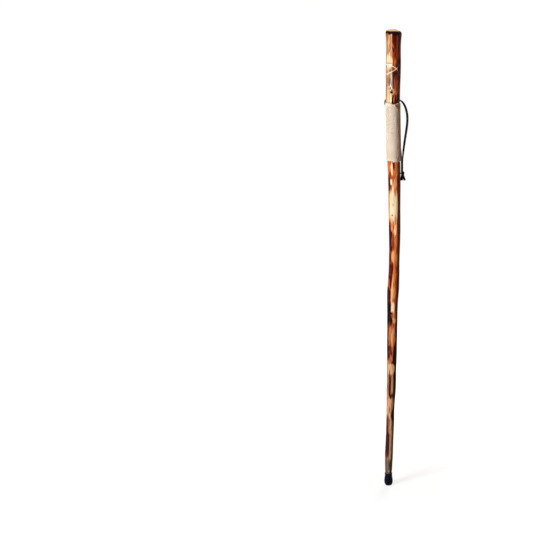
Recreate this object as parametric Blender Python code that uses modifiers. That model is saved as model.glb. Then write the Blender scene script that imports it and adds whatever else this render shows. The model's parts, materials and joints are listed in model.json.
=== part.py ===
"""Rustic wooden walking stick with a cord-wound grip, a leather wrist strap and a rubber tip cover.

Metres, +Z up. The stick stands on its tip cover at the origin and its show side faces -Y.
An azimuth is counted from the show side towards +X.
"""

import math

import bmesh
import bpy
import numpy as np
from mathutils import Matrix, Vector

# Stick
STICK_LENGTH = 1.270
HEAD_LENGTH = 0.190
GRIP_LENGTH = 0.158
STICK_LEAN = 0.0145
FOOT_RADIUS = 0.0097
BELOW_GRIP_RADIUS = 0.0170
GRIP_CORE_RADIUS = 0.0174
HEAD_RADIUS = 0.0190
TOP_FACE_RADIUS = 0.0157
TOP_FACE_SHIFT = -0.0013
TOP_ROUNDING = 0.0075
TOP_ROUNDING_RINGS = 5
SHAFT_RING_SPACING = 0.016
SHAFT_SIDES = 24
CLEARANCE = 0.0003
FINE_STEPS = 24
SHARP_ANGLE = math.radians(40)

# Natural form from the tip cover up to the grip, then from the grip up to the widest place of the head:
# share of that length, side shift as a share of the lean, radius as a share of the even taper.
LOWER_FORM = (
    (0.00, 0.00, 1.00),
    (0.07, 0.11, 1.09),
    (0.13, 0.25, 1.02),
    (0.17, 0.33, 1.02),
    (0.22, 0.39, 0.99),
    (0.28, 0.54, 1.12),
    (0.34, 0.60, 1.06),
    (0.40, 0.69, 1.09),
    (0.54, 0.75, 1.05),
    (0.60, 0.90, 1.15),
    (0.65, 1.06, 1.03),
    (0.69, 1.10, 0.98),
    (0.77, 1.18, 1.00),
    (0.94, 1.11, 1.01),
    (1.00, 1.00, 1.01),
)
GRIP_FORM = ((0.00, 1.00), (0.30, 0.96), (0.60, 0.90), (1.00, 0.85))
HEAD_FORM = (
    (0.00, 0.85, 1.00),
    (0.22, 0.89, 1.00),
    (0.38, 0.90, 1.04),
    (0.53, 0.95, 1.04),
    (0.65, 0.98, 1.02),
    (0.76, 1.00, 1.00),
    (0.88, 0.97, 1.06),
    (1.00, 1.02, 1.14),
)

# Cord wound round the grip: each turn here is a flat band that stands for two or three turns of cord
WINDING_TURNS = 23.5
POINTS_PER_TURN = 24
TURN_GAP = 0.0005
CORD_THICKNESS = 0.0025
BAND_FLAT_SHARE = 0.6
WINDING_END_AZIMUTH = math.radians(-8)
CORD_END_RADIUS = 0.0021
CORD_END_ARC = math.radians(25)

# Leather lace of the wrist strap
LACE_WIDTH = 0.0064
LACE_THICKNESS = 0.0022
LACE_CORNER = 0.0006
LACE_STEP = 0.006
HOLE_PLAY = 0.0006
HOLE_ABOVE_GRIP = 0.0045
HOLE_AZIMUTH = math.radians(49)
KNOT_WIDTH = 0.0100
KNOT_DEPTH = 0.0094
KNOT_HEIGHT = 0.0105
KNOT_CROWN_SHARE = 1.12
KNOT_BAND_RADIUS = 0.0016
KNOT_BAND_STRETCH = 1.5
KNOT_BAND_TILT = math.radians(24)
KNOT_AZIMUTH = math.radians(110)

# Lace route: metres from the middle of the strap hole, and the direction of the lace's width seen from
# above, in degrees from +X. Each strand starts in the middle of the hole and ends on the knot.
FRONT_ROUTE = (
    (0.0001, -0.0001, 0.0000, 49),
    (0.0083, -0.0072, 0.0000, 49),
    (0.0158, -0.0137, -0.0001, 48),
    (0.0225, -0.0196, -0.0028, 44),
    (0.0272, -0.0237, -0.0076, 38),
    (0.0308, -0.0266, -0.0135, 29),
    (0.0343, -0.0295, -0.0228, 18),
    (0.0371, -0.0308, -0.0365, 6),
    (0.0378, -0.0294, -0.0500, -1),
    (0.0370, -0.0260, -0.0640, -6),
    (0.0352, -0.0205, -0.0800, -13),
    (0.0322, -0.0122, -0.1025, -26),
    (0.0293, -0.0035, -0.1260, -42),
    (0.0276, 0.0033, -0.1420, -55),
    (0.0267, 0.0060, -0.1530, -63),
    (0.0258, 0.0078, -0.1640, -69),
    (0.0256, 0.0084, -0.1790, -70),
    (0.0256, 0.0084, -0.1960, -70),
)
REAR_ROUTE = (
    (-0.0001, 0.0001, 0.0000, 49),
    (-0.0083, 0.0072, 0.0000, 49),
    (-0.0146, 0.0126, -0.0012, 49),
    (-0.0180, 0.0156, -0.0040, 49),
    (-0.0198, 0.0175, -0.0081, 47),
    (-0.0200, 0.0187, -0.0129, 44),
    (-0.0190, 0.0196, -0.0178, 41),
    (-0.0166, 0.0206, -0.0238, 37),
    (-0.0125, 0.0218, -0.0330, 29),
    (-0.0075, 0.0231, -0.0467, 18),
    (-0.0015, 0.0240, -0.0640, 5),
    (0.0048, 0.0240, -0.0830, -9),
    (0.0105, 0.0222, -0.1010, -23),
    (0.0155, 0.0190, -0.1180, -37),
    (0.0192, 0.0150, -0.1340, -50),
    (0.0213, 0.0112, -0.1490, -61),
    (0.0224, 0.0082, -0.1620, -69),
    (0.0228, 0.0074, -0.1790, -70),
    (0.0228, 0.0074, -0.1960, -70),
)
# The two lace ends below the knot, from the middle of the knot's underside
OUTER_TAIL_ROUTE = (
    (0.0017, 0.0006, 0.0000, -66),
    (0.0026, 0.0009, -0.0050, -58),
    (0.0042, 0.0013, -0.0105, -46),
    (0.0060, 0.0018, -0.0155, -36),
)
INNER_TAIL_ROUTE = (
    (-0.0017, -0.0006, 0.0000, -70),
    (-0.0021, -0.0006, -0.0050, -74),
    (-0.0022, -0.0007, -0.0100, -80),
    (-0.0021, -0.0008, -0.0150, -86),
)

# Rubber tip cover and the steel disc in it
COVER_HEIGHT = 0.036
COVER_LIP_RADIUS = 0.0101
COVER_WIDE_RADIUS = 0.0119
COVER_WIDE_HEIGHT = 0.0130
COVER_SHOULDER_SHARE = 0.62
COVER_SHOULDER_SWELL = 0.15
SOLE_RADIUS = 0.0068
SOLE_THICKNESS = 0.0068
SOCKET_RADIUS = 0.0086
SOLE_ROUND_POINTS = 6
WASHER_THICKNESS = 0.0016
WASHER_HOLE_RADIUS = 0.0028
FOOT_CHAMFER = 0.0008
TURNED_STEPS = 32

HEAD_BOTTOM = STICK_LENGTH - HEAD_LENGTH
GRIP_BOTTOM = HEAD_BOTTOM - GRIP_LENGTH
WIDEST_HEIGHT = STICK_LENGTH - TOP_ROUNDING
HOLE_RADIUS = math.hypot(LACE_WIDTH, LACE_THICKNESS) / 2 + HOLE_PLAY
HOLE_HEIGHT = HEAD_BOTTOM + HOLE_ABOVE_GRIP + HOLE_RADIUS
TURN_PITCH = (GRIP_LENGTH + TURN_GAP) / (WINDING_TURNS + 1)
BAND_WIDTH = TURN_PITCH - TURN_GAP
WINDING_INNER_RADIUS = (GRIP_CORE_RADIUS + CLEARANCE) / math.cos(math.pi / POINTS_PER_TURN)
WINDING_RADIUS = WINDING_INNER_RADIUS + CORD_THICKNESS / 2
WASHER_RADIUS = SOCKET_RADIUS - CLEARANCE
FOOT_END = SOLE_THICKNESS + CLEARANCE + WASHER_THICKNESS + CLEARANCE

VARNISHED_BROWN = (0.34, 0.13, 0.04, 1)
CORD_TAN = (0.66, 0.55, 0.40, 1)
LEATHER_BLACK = (0.015, 0.015, 0.018, 1)
RUBBER_BLACK = (0.012, 0.013, 0.020, 1)
STEEL_GREY = (0.55, 0.56, 0.58, 1)


def clear_scene():
    for old in list(bpy.data.objects):
        bpy.data.objects.remove(old, do_unlink=True)


def make_collection(name):
    collection = bpy.data.collections.new(name)
    bpy.context.scene.collection.children.link(collection)
    return collection


def make_material(name, colour, roughness, metallic=0.0):
    material = bpy.data.materials.new(name)
    material.use_nodes = True
    shader = material.node_tree.nodes["Principled BSDF"]
    shader.inputs["Base Color"].default_value = colour
    shader.inputs["Roughness"].default_value = roughness
    shader.inputs["Metallic"].default_value = metallic
    return material


def add_object(name, data, collection, material=None):
    obj = bpy.data.objects.new(name, data)
    collection.objects.link(obj)
    if material:
        data.materials.append(material)
    return obj


def smooth_points(route, spacing):
    """Points of even spacing along a Catmull-Rom curve through a route's own points."""
    route = np.array(route, float)
    ends = [2 * route[0] - route[1], *route, 2 * route[-1] - route[-2]]
    fine = []
    for a, b, c, d in zip(ends, ends[1:], ends[2:], ends[3:]):
        square = 2 * a - 5 * b + 4 * c - d
        cube = 3 * b - a - 3 * c + d
        for t in np.linspace(0, 1, FINE_STEPS, endpoint=False):
            fine.append(0.5 * (2 * b + (c - a) * t + square * t**2 + cube * t**3))
    fine = np.array(fine + [route[-1]])
    steps = np.linalg.norm(np.diff(fine[:, :3], axis=0), axis=1)
    along = np.concatenate([[0], np.cumsum(steps)])
    places = np.linspace(0, along[-1], max(2, round(along[-1] / spacing) + 1))
    return np.stack([np.interp(places, along, column) for column in fine.T], axis=1).tolist()


def form_points(form, bottom, top, low_radius, high_radius):
    """Rings of a natural stretch of the stick: height, side shift and radius."""
    rows = []
    for share, lean, swell in form:
        height = bottom + share * (top - bottom)
        taper = low_radius + share * (high_radius - low_radius)
        rows.append((height, lean * STICK_LEAN, swell * taper))
    return smooth_points(rows, SHAFT_RING_SPACING)


def head_rings():
    """The head from the grip's top edge, over its rounded shoulder, to the flat top face."""
    rings = form_points(HEAD_FORM, HEAD_BOTTOM + CLEARANCE, WIDEST_HEIGHT, HEAD_RADIUS, HEAD_RADIUS)
    _, widest_shift, widest_radius = rings[-1]
    for k in range(1, TOP_ROUNDING_RINGS + 1):
        angle = k / TOP_ROUNDING_RINGS * math.pi / 2
        turn = 1 - math.cos(angle)
        rings.append(
            (
                WIDEST_HEIGHT + TOP_ROUNDING * math.sin(angle),
                widest_shift + TOP_FACE_SHIFT * turn,
                widest_radius + (TOP_FACE_RADIUS - widest_radius) * turn,
            )
        )
    return rings


def shaft_rings():
    """The whole stem from foot to head: height, side shift and radius of each ring."""
    foot_radius = SOCKET_RADIUS - CLEARANCE
    above_cover, below_grip = COVER_HEIGHT + CLEARANCE, GRIP_BOTTOM - CLEARANCE
    rings = [
        (FOOT_END, 0, foot_radius - FOOT_CHAMFER),
        (FOOT_END + FOOT_CHAMFER, 0, foot_radius),
        (COVER_HEIGHT, 0, foot_radius),
        (COVER_HEIGHT + CLEARANCE / 2, 0, foot_radius),
    ]
    rings += form_points(LOWER_FORM, above_cover, below_grip, FOOT_RADIUS, BELOW_GRIP_RADIUS)
    for share, lean in GRIP_FORM[:-1]:
        rings.append((GRIP_BOTTOM + share * GRIP_LENGTH, lean * STICK_LEAN, GRIP_CORE_RADIUS))
    rings.append((HEAD_BOTTOM, GRIP_FORM[-1][1] * STICK_LEAN, GRIP_CORE_RADIUS))
    return rings + head_rings()


def middle_at(height):
    """Middle of the stem at a height."""
    rings = np.array(shaft_rings())
    return Vector((float(np.interp(height, rings[:, 0], rings[:, 1])), 0, height))


def radial(azimuth):
    return Vector((math.sin(azimuth), -math.cos(azimuth), 0))


def poly_curve(name, points, radii=None):
    """An open curve object's data with straight runs between its points."""
    curve = bpy.data.curves.new(name, "CURVE")
    curve.dimensions = "3D"
    curve.use_fill_caps = True
    spline = curve.splines.new("POLY")
    spline.points.add(len(points) - 1)
    for i, place in enumerate(points):
        spline.points[i].co = (*place, 1)
        spline.points[i].radius = radii[i] if radii else 1
    return curve


def shade_round(mesh):
    mesh.shade_smooth()
    mesh.set_sharp_from_angle(angle=SHARP_ANGLE)


def make_loft(name, rings, collection, material):
    """A closed skin through rings of points, each with as many points as the next."""
    shape = bmesh.new()
    loops = []
    for ring in rings:
        corners = [shape.verts.new(place) for place in ring]
        loops.append([shape.edges.new((corners[k - 1], corners[k])) for k in range(len(corners))])
    for lower, upper in zip(loops, loops[1:]):
        bmesh.ops.bridge_loops(shape, edges=lower + upper)
    bmesh.ops.holes_fill(shape, edges=loops[0] + loops[-1])
    bmesh.ops.recalc_face_normals(shape, faces=shape.faces)
    mesh = bpy.data.meshes.new(name)
    shape.to_mesh(mesh)
    shape.free()
    shade_round(mesh)
    return add_object(name, mesh, collection, material)


def make_shaft(parts, cutters, material):
    azimuths = [k * 2 * math.pi / SHAFT_SIDES for k in range(SHAFT_SIDES)]
    rings = [
        [Vector((shift, 0, height)) + radius * radial(azimuth) for azimuth in azimuths]
        for height, shift, radius in shaft_rings()
    ]
    shaft = make_loft("shaft", rings, parts, material)
    cutter = make_cylinder("strap_hole_cutter", HOLE_RADIUS, 3 * HEAD_RADIUS, cutters)
    cutter.matrix_world = hole_frame()
    drill = shaft.modifiers.new("strap_hole", "BOOLEAN")
    drill.operation = "DIFFERENCE"
    drill.object = cutter
    return shaft


def hole_frame():
    """A frame at the middle of the strap hole, with its Z axis along the hole to the front right."""
    out = radial(HOLE_AZIMUTH)
    turn = out.to_track_quat("Z", "Y").to_matrix().to_4x4()
    return Matrix.Translation(middle_at(HOLE_HEIGHT)) @ turn


def make_cylinder(name, radius, length, collection):
    mesh = bpy.data.meshes.new(name)
    shape = bmesh.new()
    bmesh.ops.create_cone(
        shape, cap_ends=True, segments=TURNED_STEPS // 2, radius1=radius, radius2=radius, depth=length
    )
    shape.to_mesh(mesh)
    shape.free()
    obj = add_object(name, mesh, collection)
    obj.hide_render = True
    obj.display_type = "WIRE"
    return obj


def winding_points():
    """Middle line of the wound cord, with a straight run at each end."""
    first = WINDING_END_AZIMUTH - WINDING_TURNS * 2 * math.pi
    count = round(WINDING_TURNS * POINTS_PER_TURN)
    points = []
    for i in range(count + 1):
        share = i / count
        azimuth = first + share * WINDING_TURNS * 2 * math.pi
        height = GRIP_BOTTOM + BAND_WIDTH / 2 + share * WINDING_TURNS * TURN_PITCH
        points.append(middle_at(height) + WINDING_RADIUS * radial(azimuth))
    start = radial(first - math.pi / 2)
    end = radial(WINDING_END_AZIMUTH + math.pi / 2)
    return [points[0] + BAND_WIDTH * start, *points, points[-1] + BAND_WIDTH * end]


def band_section(guides):
    """Flat six-sided section of the wound band: its thickness across, its width upright."""
    section = bpy.data.curves.new("band_section", "CURVE")
    section.dimensions = "2D"
    spline = section.splines.new("POLY")
    spline.points.add(5)
    spline.use_cyclic_u = True
    half_thick, half_wide = CORD_THICKNESS / 2, BAND_WIDTH / 2
    half_flat = half_wide * BAND_FLAT_SHARE
    outline = (
        (0, -half_wide),
        (-half_thick, -half_flat),
        (-half_thick, half_flat),
        (0, half_wide),
        (half_thick, half_flat),
        (half_thick, -half_flat),
    )
    for point, (across, upright) in zip(spline.points, outline):
        point.co = (across, upright, 0, 1)
    guide = add_object("band_section", section, guides)
    guide.hide_render = True
    guide.display_type = "WIRE"
    return guide


def print_least_gap(points):
    """Least clear height between one turn of the band and the next, measured point by point."""
    turns = np.array([tuple(p) for p in points[1:-1]])
    apart = turns[POINTS_PER_TURN:] - turns[:-POINTS_PER_TURN]
    least = np.linalg.norm(apart, axis=1).min() - BAND_WIDTH
    print(f"grip_winding: least gap between turns {1000 * least:.3f} mm")


def make_winding(parts, guides, material):
    points = winding_points()
    curve = poly_curve("grip_winding", points)
    curve.twist_mode = "Z_UP"
    curve.bevel_mode = "OBJECT"
    curve.bevel_object = band_section(guides)
    print_least_gap(points)
    winding = add_object("grip_winding", curve, parts, material)
    make_cord_end(parts, material, points[-1])
    return winding


def make_cord_end(parts, material, winding_end):
    """The tucked cord end: a short fat stub that goes on round the stick where the winding stops."""
    along = radial(WINDING_END_AZIMUTH + math.pi / 2)
    start = winding_end + CLEARANCE * along
    straight = start + CORD_END_RADIUS / 2 * along
    middle = middle_at(winding_end.z)
    first = math.atan2(straight.x - middle.x, middle.y - straight.y)
    reach = (straight - middle).length
    points = [start, straight]
    thickness = (0.8, 0.9, 1, 1, 0.95, 0.8, 0.4)
    arc_points = len(thickness) - len(points)
    hug = (GRIP_CORE_RADIUS + CLEARANCE) / math.cos(CORD_END_ARC / arc_points / 2) + CORD_END_RADIUS
    for k in range(1, arc_points + 1):
        share = k / arc_points
        azimuth = first + share * CORD_END_ARC
        points.append(middle + max(hug, reach + share * (hug - reach)) * radial(azimuth))
    curve = poly_curve("grip_cord_end", points, thickness)
    curve.bevel_depth = CORD_END_RADIUS
    curve.bevel_resolution = 3
    return add_object("grip_cord_end", curve, parts, material)


def lace_outline():
    """Corners of the lace's section: across its width, then through its thickness."""
    wide, thick = LACE_WIDTH / 2, LACE_THICKNESS / 2
    quarter = ((wide, thick - LACE_CORNER), (wide - LACE_CORNER, thick))
    return [
        (sign_w * w, sign_t * t)
        for sign_w, sign_t, order in ((1, 1, 1), (-1, 1, -1), (-1, -1, 1), (1, -1, -1))
        for w, t in quarter[::order]
    ]


def make_lace(name, origin, route, parts, material):
    """A flat lace along a route from an origin, turned as the route says."""
    stations = smooth_points(route, LACE_STEP)
    places = [origin + Vector(row[:3]) for row in stations]
    rings = []
    for i, place in enumerate(places):
        along = (places[min(i + 1, len(places) - 1)] - places[max(i - 1, 0)]).normalized()
        turn = math.radians(stations[i][3])
        across = Vector((math.cos(turn), math.sin(turn), 0))
        across = (across - across.dot(along) * along).normalized()
        through = along.cross(across)
        rings.append([place + w * across + t * through for w, t in lace_outline()])
    return make_loft(name, rings, parts, material)


def knot_middle():
    """Middle of the knot, just under the two strands' ends."""
    front, rear = Vector(FRONT_ROUTE[-1][:3]), Vector(REAR_ROUTE[-1][:3])
    drop = Vector((0, 0, CLEARANCE + KNOT_HEIGHT / 2))
    out = radial(KNOT_AZIMUTH) * KNOT_BAND_RADIUS
    return middle_at(HOLE_HEIGHT) + (front + rear) / 2 + out - drop


def make_knot(parts, cutters, material):
    """A rounded lump cut flat above and below, with one turn of the lace slanting round it."""
    shape = bmesh.new()
    bmesh.ops.create_uvsphere(shape, u_segments=20, v_segments=12, radius=0.5)
    crown = KNOT_HEIGHT * KNOT_CROWN_SHARE
    size = (KNOT_DEPTH - KNOT_BAND_RADIUS, KNOT_WIDTH - KNOT_BAND_RADIUS, crown)
    bmesh.ops.scale(shape, vec=size, verts=shape.verts)
    for side in (1, -1):
        level = Vector((0, 0, side * KNOT_HEIGHT / 2))
        cut = bmesh.ops.bisect_plane(
            shape,
            geom=shape.verts[:] + shape.edges[:] + shape.faces[:],
            plane_co=level,
            plane_no=(0, 0, side),
            clear_outer=True,
        )
        rim = [e for e in cut["geom_cut"] if isinstance(e, bmesh.types.BMEdge)]
        bmesh.ops.holes_fill(shape, edges=rim)
    bmesh.ops.recalc_face_normals(shape, faces=shape.faces)
    mesh = bpy.data.meshes.new("strap_knot")
    shape.to_mesh(mesh)
    shape.free()
    knot = add_object("strap_knot", mesh, parts, material)
    band = make_knot_band(cutters)
    place = Matrix.Translation(knot_middle()) @ Matrix.Rotation(KNOT_AZIMUTH - math.pi / 2, 4, "Z")
    knot.matrix_world = place
    band.matrix_world = place @ Matrix.Rotation(KNOT_BAND_TILT, 4, "Y")
    join = knot.modifiers.new("wrapped_turn", "BOOLEAN")
    join.operation = "UNION"
    join.object = band
    return knot


def make_knot_band(cutters):
    """The turn that wraps the knot, an oval ring of lace."""
    bpy.ops.mesh.primitive_torus_add(
        major_segments=24, minor_segments=8, major_radius=0.5, minor_radius=KNOT_BAND_RADIUS
    )
    band = bpy.context.object
    band.name = "knot_band"
    deep, wide = KNOT_DEPTH - 2 * KNOT_BAND_RADIUS, KNOT_WIDTH - 2 * KNOT_BAND_RADIUS
    for point in band.data.vertices:
        reach = Vector((point.co.x, point.co.y, 0))
        middle = 0.5 * reach.normalized()
        oval = Vector((middle.x * deep, middle.y * wide, point.co.z * KNOT_BAND_STRETCH))
        point.co = oval + reach - middle
    for old in list(band.users_collection):
        old.objects.unlink(band)
    cutters.objects.link(band)
    band.hide_render = True
    band.display_type = "WIRE"
    return band


def turned(name, outline, parts, material):
    """A ring-shaped piece turned round the stick's foot from a closed outline of radius and height."""
    shape = bmesh.new()
    corners = [shape.verts.new((radius, 0, height)) for radius, height in outline]
    for k in range(len(corners)):
        if max(outline[k - 1][0], outline[k][0]) > 0:
            shape.edges.new((corners[k - 1], corners[k]))
    mesh = bpy.data.meshes.new(name)
    shape.to_mesh(mesh)
    shape.free()
    piece = add_object(name, mesh, parts, material)
    turn = piece.modifiers.new("turned", "SCREW")
    turn.axis = "Z"
    turn.steps = TURNED_STEPS
    turn.render_steps = TURNED_STEPS
    turn.use_merge_vertices = True
    turn.merge_threshold = 1e-6
    turn.use_smooth_shade = True
    return piece


def cover_outline():
    """Tip cover from the inside of its lip, over the lip and down its outside, then up the socket."""
    lip = (COVER_LIP_RADIUS - SOCKET_RADIUS) / 2
    shoulder = COVER_LIP_RADIUS + COVER_SHOULDER_SWELL * (COVER_WIDE_RADIUS - COVER_LIP_RADIUS)
    outline = [
        (SOCKET_RADIUS, COVER_HEIGHT - lip / 2),
        (SOCKET_RADIUS + lip / 2, COVER_HEIGHT),
        (COVER_LIP_RADIUS - lip / 2, COVER_HEIGHT),
        (COVER_LIP_RADIUS, COVER_HEIGHT - lip / 2),
        (shoulder, COVER_HEIGHT * COVER_SHOULDER_SHARE),
    ]
    for angle in np.linspace(0, math.pi / 2, SOLE_ROUND_POINTS):
        outline.append(
            (
                SOLE_RADIUS + (COVER_WIDE_RADIUS - SOLE_RADIUS) * math.cos(angle),
                COVER_WIDE_HEIGHT * (1 - math.sin(angle)),
            )
        )
    return outline + [(0, 0), (0, SOLE_THICKNESS), (SOCKET_RADIUS, SOLE_THICKNESS)]


def washer_outline():
    low = SOLE_THICKNESS + CLEARANCE
    high = low + WASHER_THICKNESS
    inner, outer = WASHER_HOLE_RADIUS, WASHER_RADIUS
    return [(inner, high), (outer, high), (outer, low), (inner, low)]


def make_pivot(name, place, collection, pieces):
    """An empty on a joint's axis, with the pieces that move about it as its children."""
    pivot = add_object(name, None, collection)
    pivot.empty_display_size = HEAD_RADIUS
    pivot.matrix_world = place
    bpy.context.view_layer.update()
    for piece in pieces:
        piece.parent = pivot
        piece.matrix_parent_inverse = place.inverted()
    return pivot


def main():
    clear_scene()
    parts = make_collection("walking_stick")
    cutters = make_collection("cutters_and_guides")
    wood = make_material("varnished_wood", VARNISHED_BROWN, 0.25)
    cord = make_material("natural_cord", CORD_TAN, 0.9)
    leather = make_material("black_leather", LEATHER_BLACK, 0.4)
    rubber = make_material("black_rubber", RUBBER_BLACK, 0.45)
    steel = make_material("zinc_plated_steel", STEEL_GREY, 0.35, 1.0)

    make_shaft(parts, cutters, wood)
    make_winding(parts, cutters, cord)

    hole = middle_at(HOLE_HEIGHT)
    under_knot = knot_middle() - Vector((0, 0, KNOT_HEIGHT / 2 + CLEARANCE))
    strap = [
        make_lace("strap_front", hole, FRONT_ROUTE, parts, leather),
        make_lace("strap_rear", hole, REAR_ROUTE, parts, leather),
        make_knot(parts, cutters, leather),
        make_lace("strap_tail_outer", under_knot, OUTER_TAIL_ROUTE, parts, leather),
        make_lace("strap_tail_inner", under_knot, INNER_TAIL_ROUTE, parts, leather),
    ]
    make_pivot("strap_swing", hole_frame(), parts, strap)

    tip = [
        turned("tip_cover", cover_outline(), parts, rubber),
        turned("tip_washer", washer_outline(), parts, steel),
    ]
    make_pivot("tip_pull", Matrix.Identity(4), parts, tip)


main()
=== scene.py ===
"""Finished surfaces of a rustic walking stick: varnished wood, cord grip, leather wrist strap, rubber tip.

Everything is in metres, +Z up, in the frame of the solid model that is loaded first. The stick's show side
faces -Y, and an azimuth is counted from there towards +X.
"""
import json
import math

import bmesh
import bpy
import numpy as np
from bpy.props import FloatProperty, FloatVectorProperty, IntProperty, PointerProperty
from mathutils import Matrix, Vector


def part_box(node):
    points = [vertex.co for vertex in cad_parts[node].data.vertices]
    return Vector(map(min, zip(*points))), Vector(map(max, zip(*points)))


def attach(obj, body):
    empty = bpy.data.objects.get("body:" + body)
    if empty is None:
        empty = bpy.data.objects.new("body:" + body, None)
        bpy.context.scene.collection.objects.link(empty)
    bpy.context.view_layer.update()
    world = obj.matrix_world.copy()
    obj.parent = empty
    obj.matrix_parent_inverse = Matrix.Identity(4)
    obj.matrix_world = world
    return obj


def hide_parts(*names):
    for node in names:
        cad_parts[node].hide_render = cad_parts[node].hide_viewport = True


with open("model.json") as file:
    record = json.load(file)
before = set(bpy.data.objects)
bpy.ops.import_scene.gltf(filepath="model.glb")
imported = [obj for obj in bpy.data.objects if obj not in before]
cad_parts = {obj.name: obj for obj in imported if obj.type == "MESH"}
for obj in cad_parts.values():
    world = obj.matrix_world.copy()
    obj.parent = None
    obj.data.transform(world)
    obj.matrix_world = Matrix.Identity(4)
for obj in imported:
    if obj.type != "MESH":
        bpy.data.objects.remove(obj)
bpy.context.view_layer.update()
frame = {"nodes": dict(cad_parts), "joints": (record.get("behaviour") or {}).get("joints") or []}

bl_info = {
    "name": "Rustic walking stick",
    "version": (1, 0, 0),
    "blender": (4, 5, 0),
    "location": "View3D > Sidebar > Walking stick",
    "description": "Builds the finished surfaces of a wooden walking stick round its solid model",
    "category": "Add Mesh",
}

# Places read from the solid model
COVER_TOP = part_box("tip_cover")[1].z
GRIP_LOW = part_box("grip_winding")[0].z
GRIP_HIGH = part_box("grip_winding")[1].z
FOOT_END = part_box("shaft")[0].z
STEM_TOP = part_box("shaft")[1].z
HOLE = next(joint for joint in frame["joints"] if joint["name"] == "strap_swing")
HOLE_MIDDLE = Vector(HOLE["pos_m"])
HOLE_AXIS = Vector(HOLE["axis"]).normalized()

# Stem
SEAM = 0.0003
STEM_COLUMNS = 160
LOWER_ROW = 0.0030
HEAD_ROW = 0.0017
CARVED_ROW = 0.00045
KNOT_ROW = 0.0010
SMOOTHING_LENGTH = 0.026
TABLE_STEP = 0.0005
FOOT_CHAMFER = 0.0008
SHOULDER_CHAMFER = 0.0006
ROUNDING_ROWS = 14
FACE_ROWS = 9
TOP_DROP = 0.0016
SHOULDER_AZIMUTH = math.radians(80)
SHOULDER_LENGTH = 0.015
SHOULDER_DEPTH = 0.0075
HOLE_RADIUS = 0.0040

# Carved line: it runs twice round the head and crosses itself once at the front. Each row is an azimuth
# in degrees and a height in millimetres from the crossing. The first round ends where the second starts.
CROSSING_HEIGHT = 1.1707
FIRST_ROUND = (
    (-90, 8.7), (-60, 10.9), (-38, 11.4), (-20, 8.8), (-7, 7.0), (8, 3.9), (25, 0.0), (40, -6.6),
    (56, -16.0), (90, -20.0), (180, -18.0), (270, -15.1),
)
SECOND_ROUND = (
    (-90, -15.1), (-58, -15.0), (-46, -13.3), (-32, -11.0), (-14, -7.6), (8, -3.4), (25, 0.0), (40, 4.9),
    (60, 8.5), (110, 12.5), (190, 11.0), (270, 8.7),
)

# Degrees between the line's own points, and where it grows finer and fainter on the side away from the
# lamp and comes back again, as azimuths in radians
CARVED_STEP = 2.0
FINE_LINE = (0.35, 0.8)
FAINT_LINE = (0.47, 0.75)
LINE_BACK = (1.9, 3.1)

# Knots in the wood: azimuth in degrees, height in metres, radius of the eye in metres
KNOTS = (
    (-11, 1.1105, 0.0036),
    (-24, 0.7772, 0.0020),
    (152, 0.6240, 0.0026),
    (-138, 0.3620, 0.0022),
    (128, 1.2080, 0.0020),
    (-160, 0.8540, 0.0018),
    (100, 0.2050, 0.0016),
)

# A dark crack beside the knot, as azimuths in degrees and heights in millimetres from below
CRACK = ((-33, 1116), (-35, 1120), (-34.5, 1125), (-30, 1131), (-25.5, 1138), (-25, 1147))

# A flat that the plane left above the knot: the azimuth that it faces, how many degrees round it reaches at
# most to each side, and its left and right limits in degrees at each height in millimetres
FLAT_AZIMUTH = -18
FLAT_REACH = 12.5
FLAT_LIMITS = (
    (1113, -14, -10), (1117, -22, -8), (1121, -26, -8), (1126, -29, -12), (1131, -27, -13), (1136, -22, -12),
    (1141, -22, -7), (1147, -25, -6), (1153, -25, -7), (1158, -20, -10), (1163, -17, -13),
)

# Where the head's golden front turns red: height in millimetres, azimuth in degrees and tone
RED_EDGE = (
    (1080, -13, 0.84), (1086, -11, 0.86), (1092, -8, 0.84), (1099, -4, 0.68), (1104, 2, 0.48),
    (1109, 7, 0.46), (1115, 6, 0.60), (1122, 0, 0.66), (1130, -4, 0.66), (1140, -5, 0.70),
    (1148, -6, 0.82), (1158, -7, 0.84), (1164, -9, 0.74), (1170, -11, 0.64), (1178, -12, 0.57),
    (1190, -13, 0.55), (1200, -13.5, 0.57), (1207, -14, 0.62), (1215, -14, 0.68), (1225, -14.5, 0.72),
    (1235, -15, 0.74), (1245, -15, 0.80), (1255, -14, 0.88), (1262, -13, 0.94),
)

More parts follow.
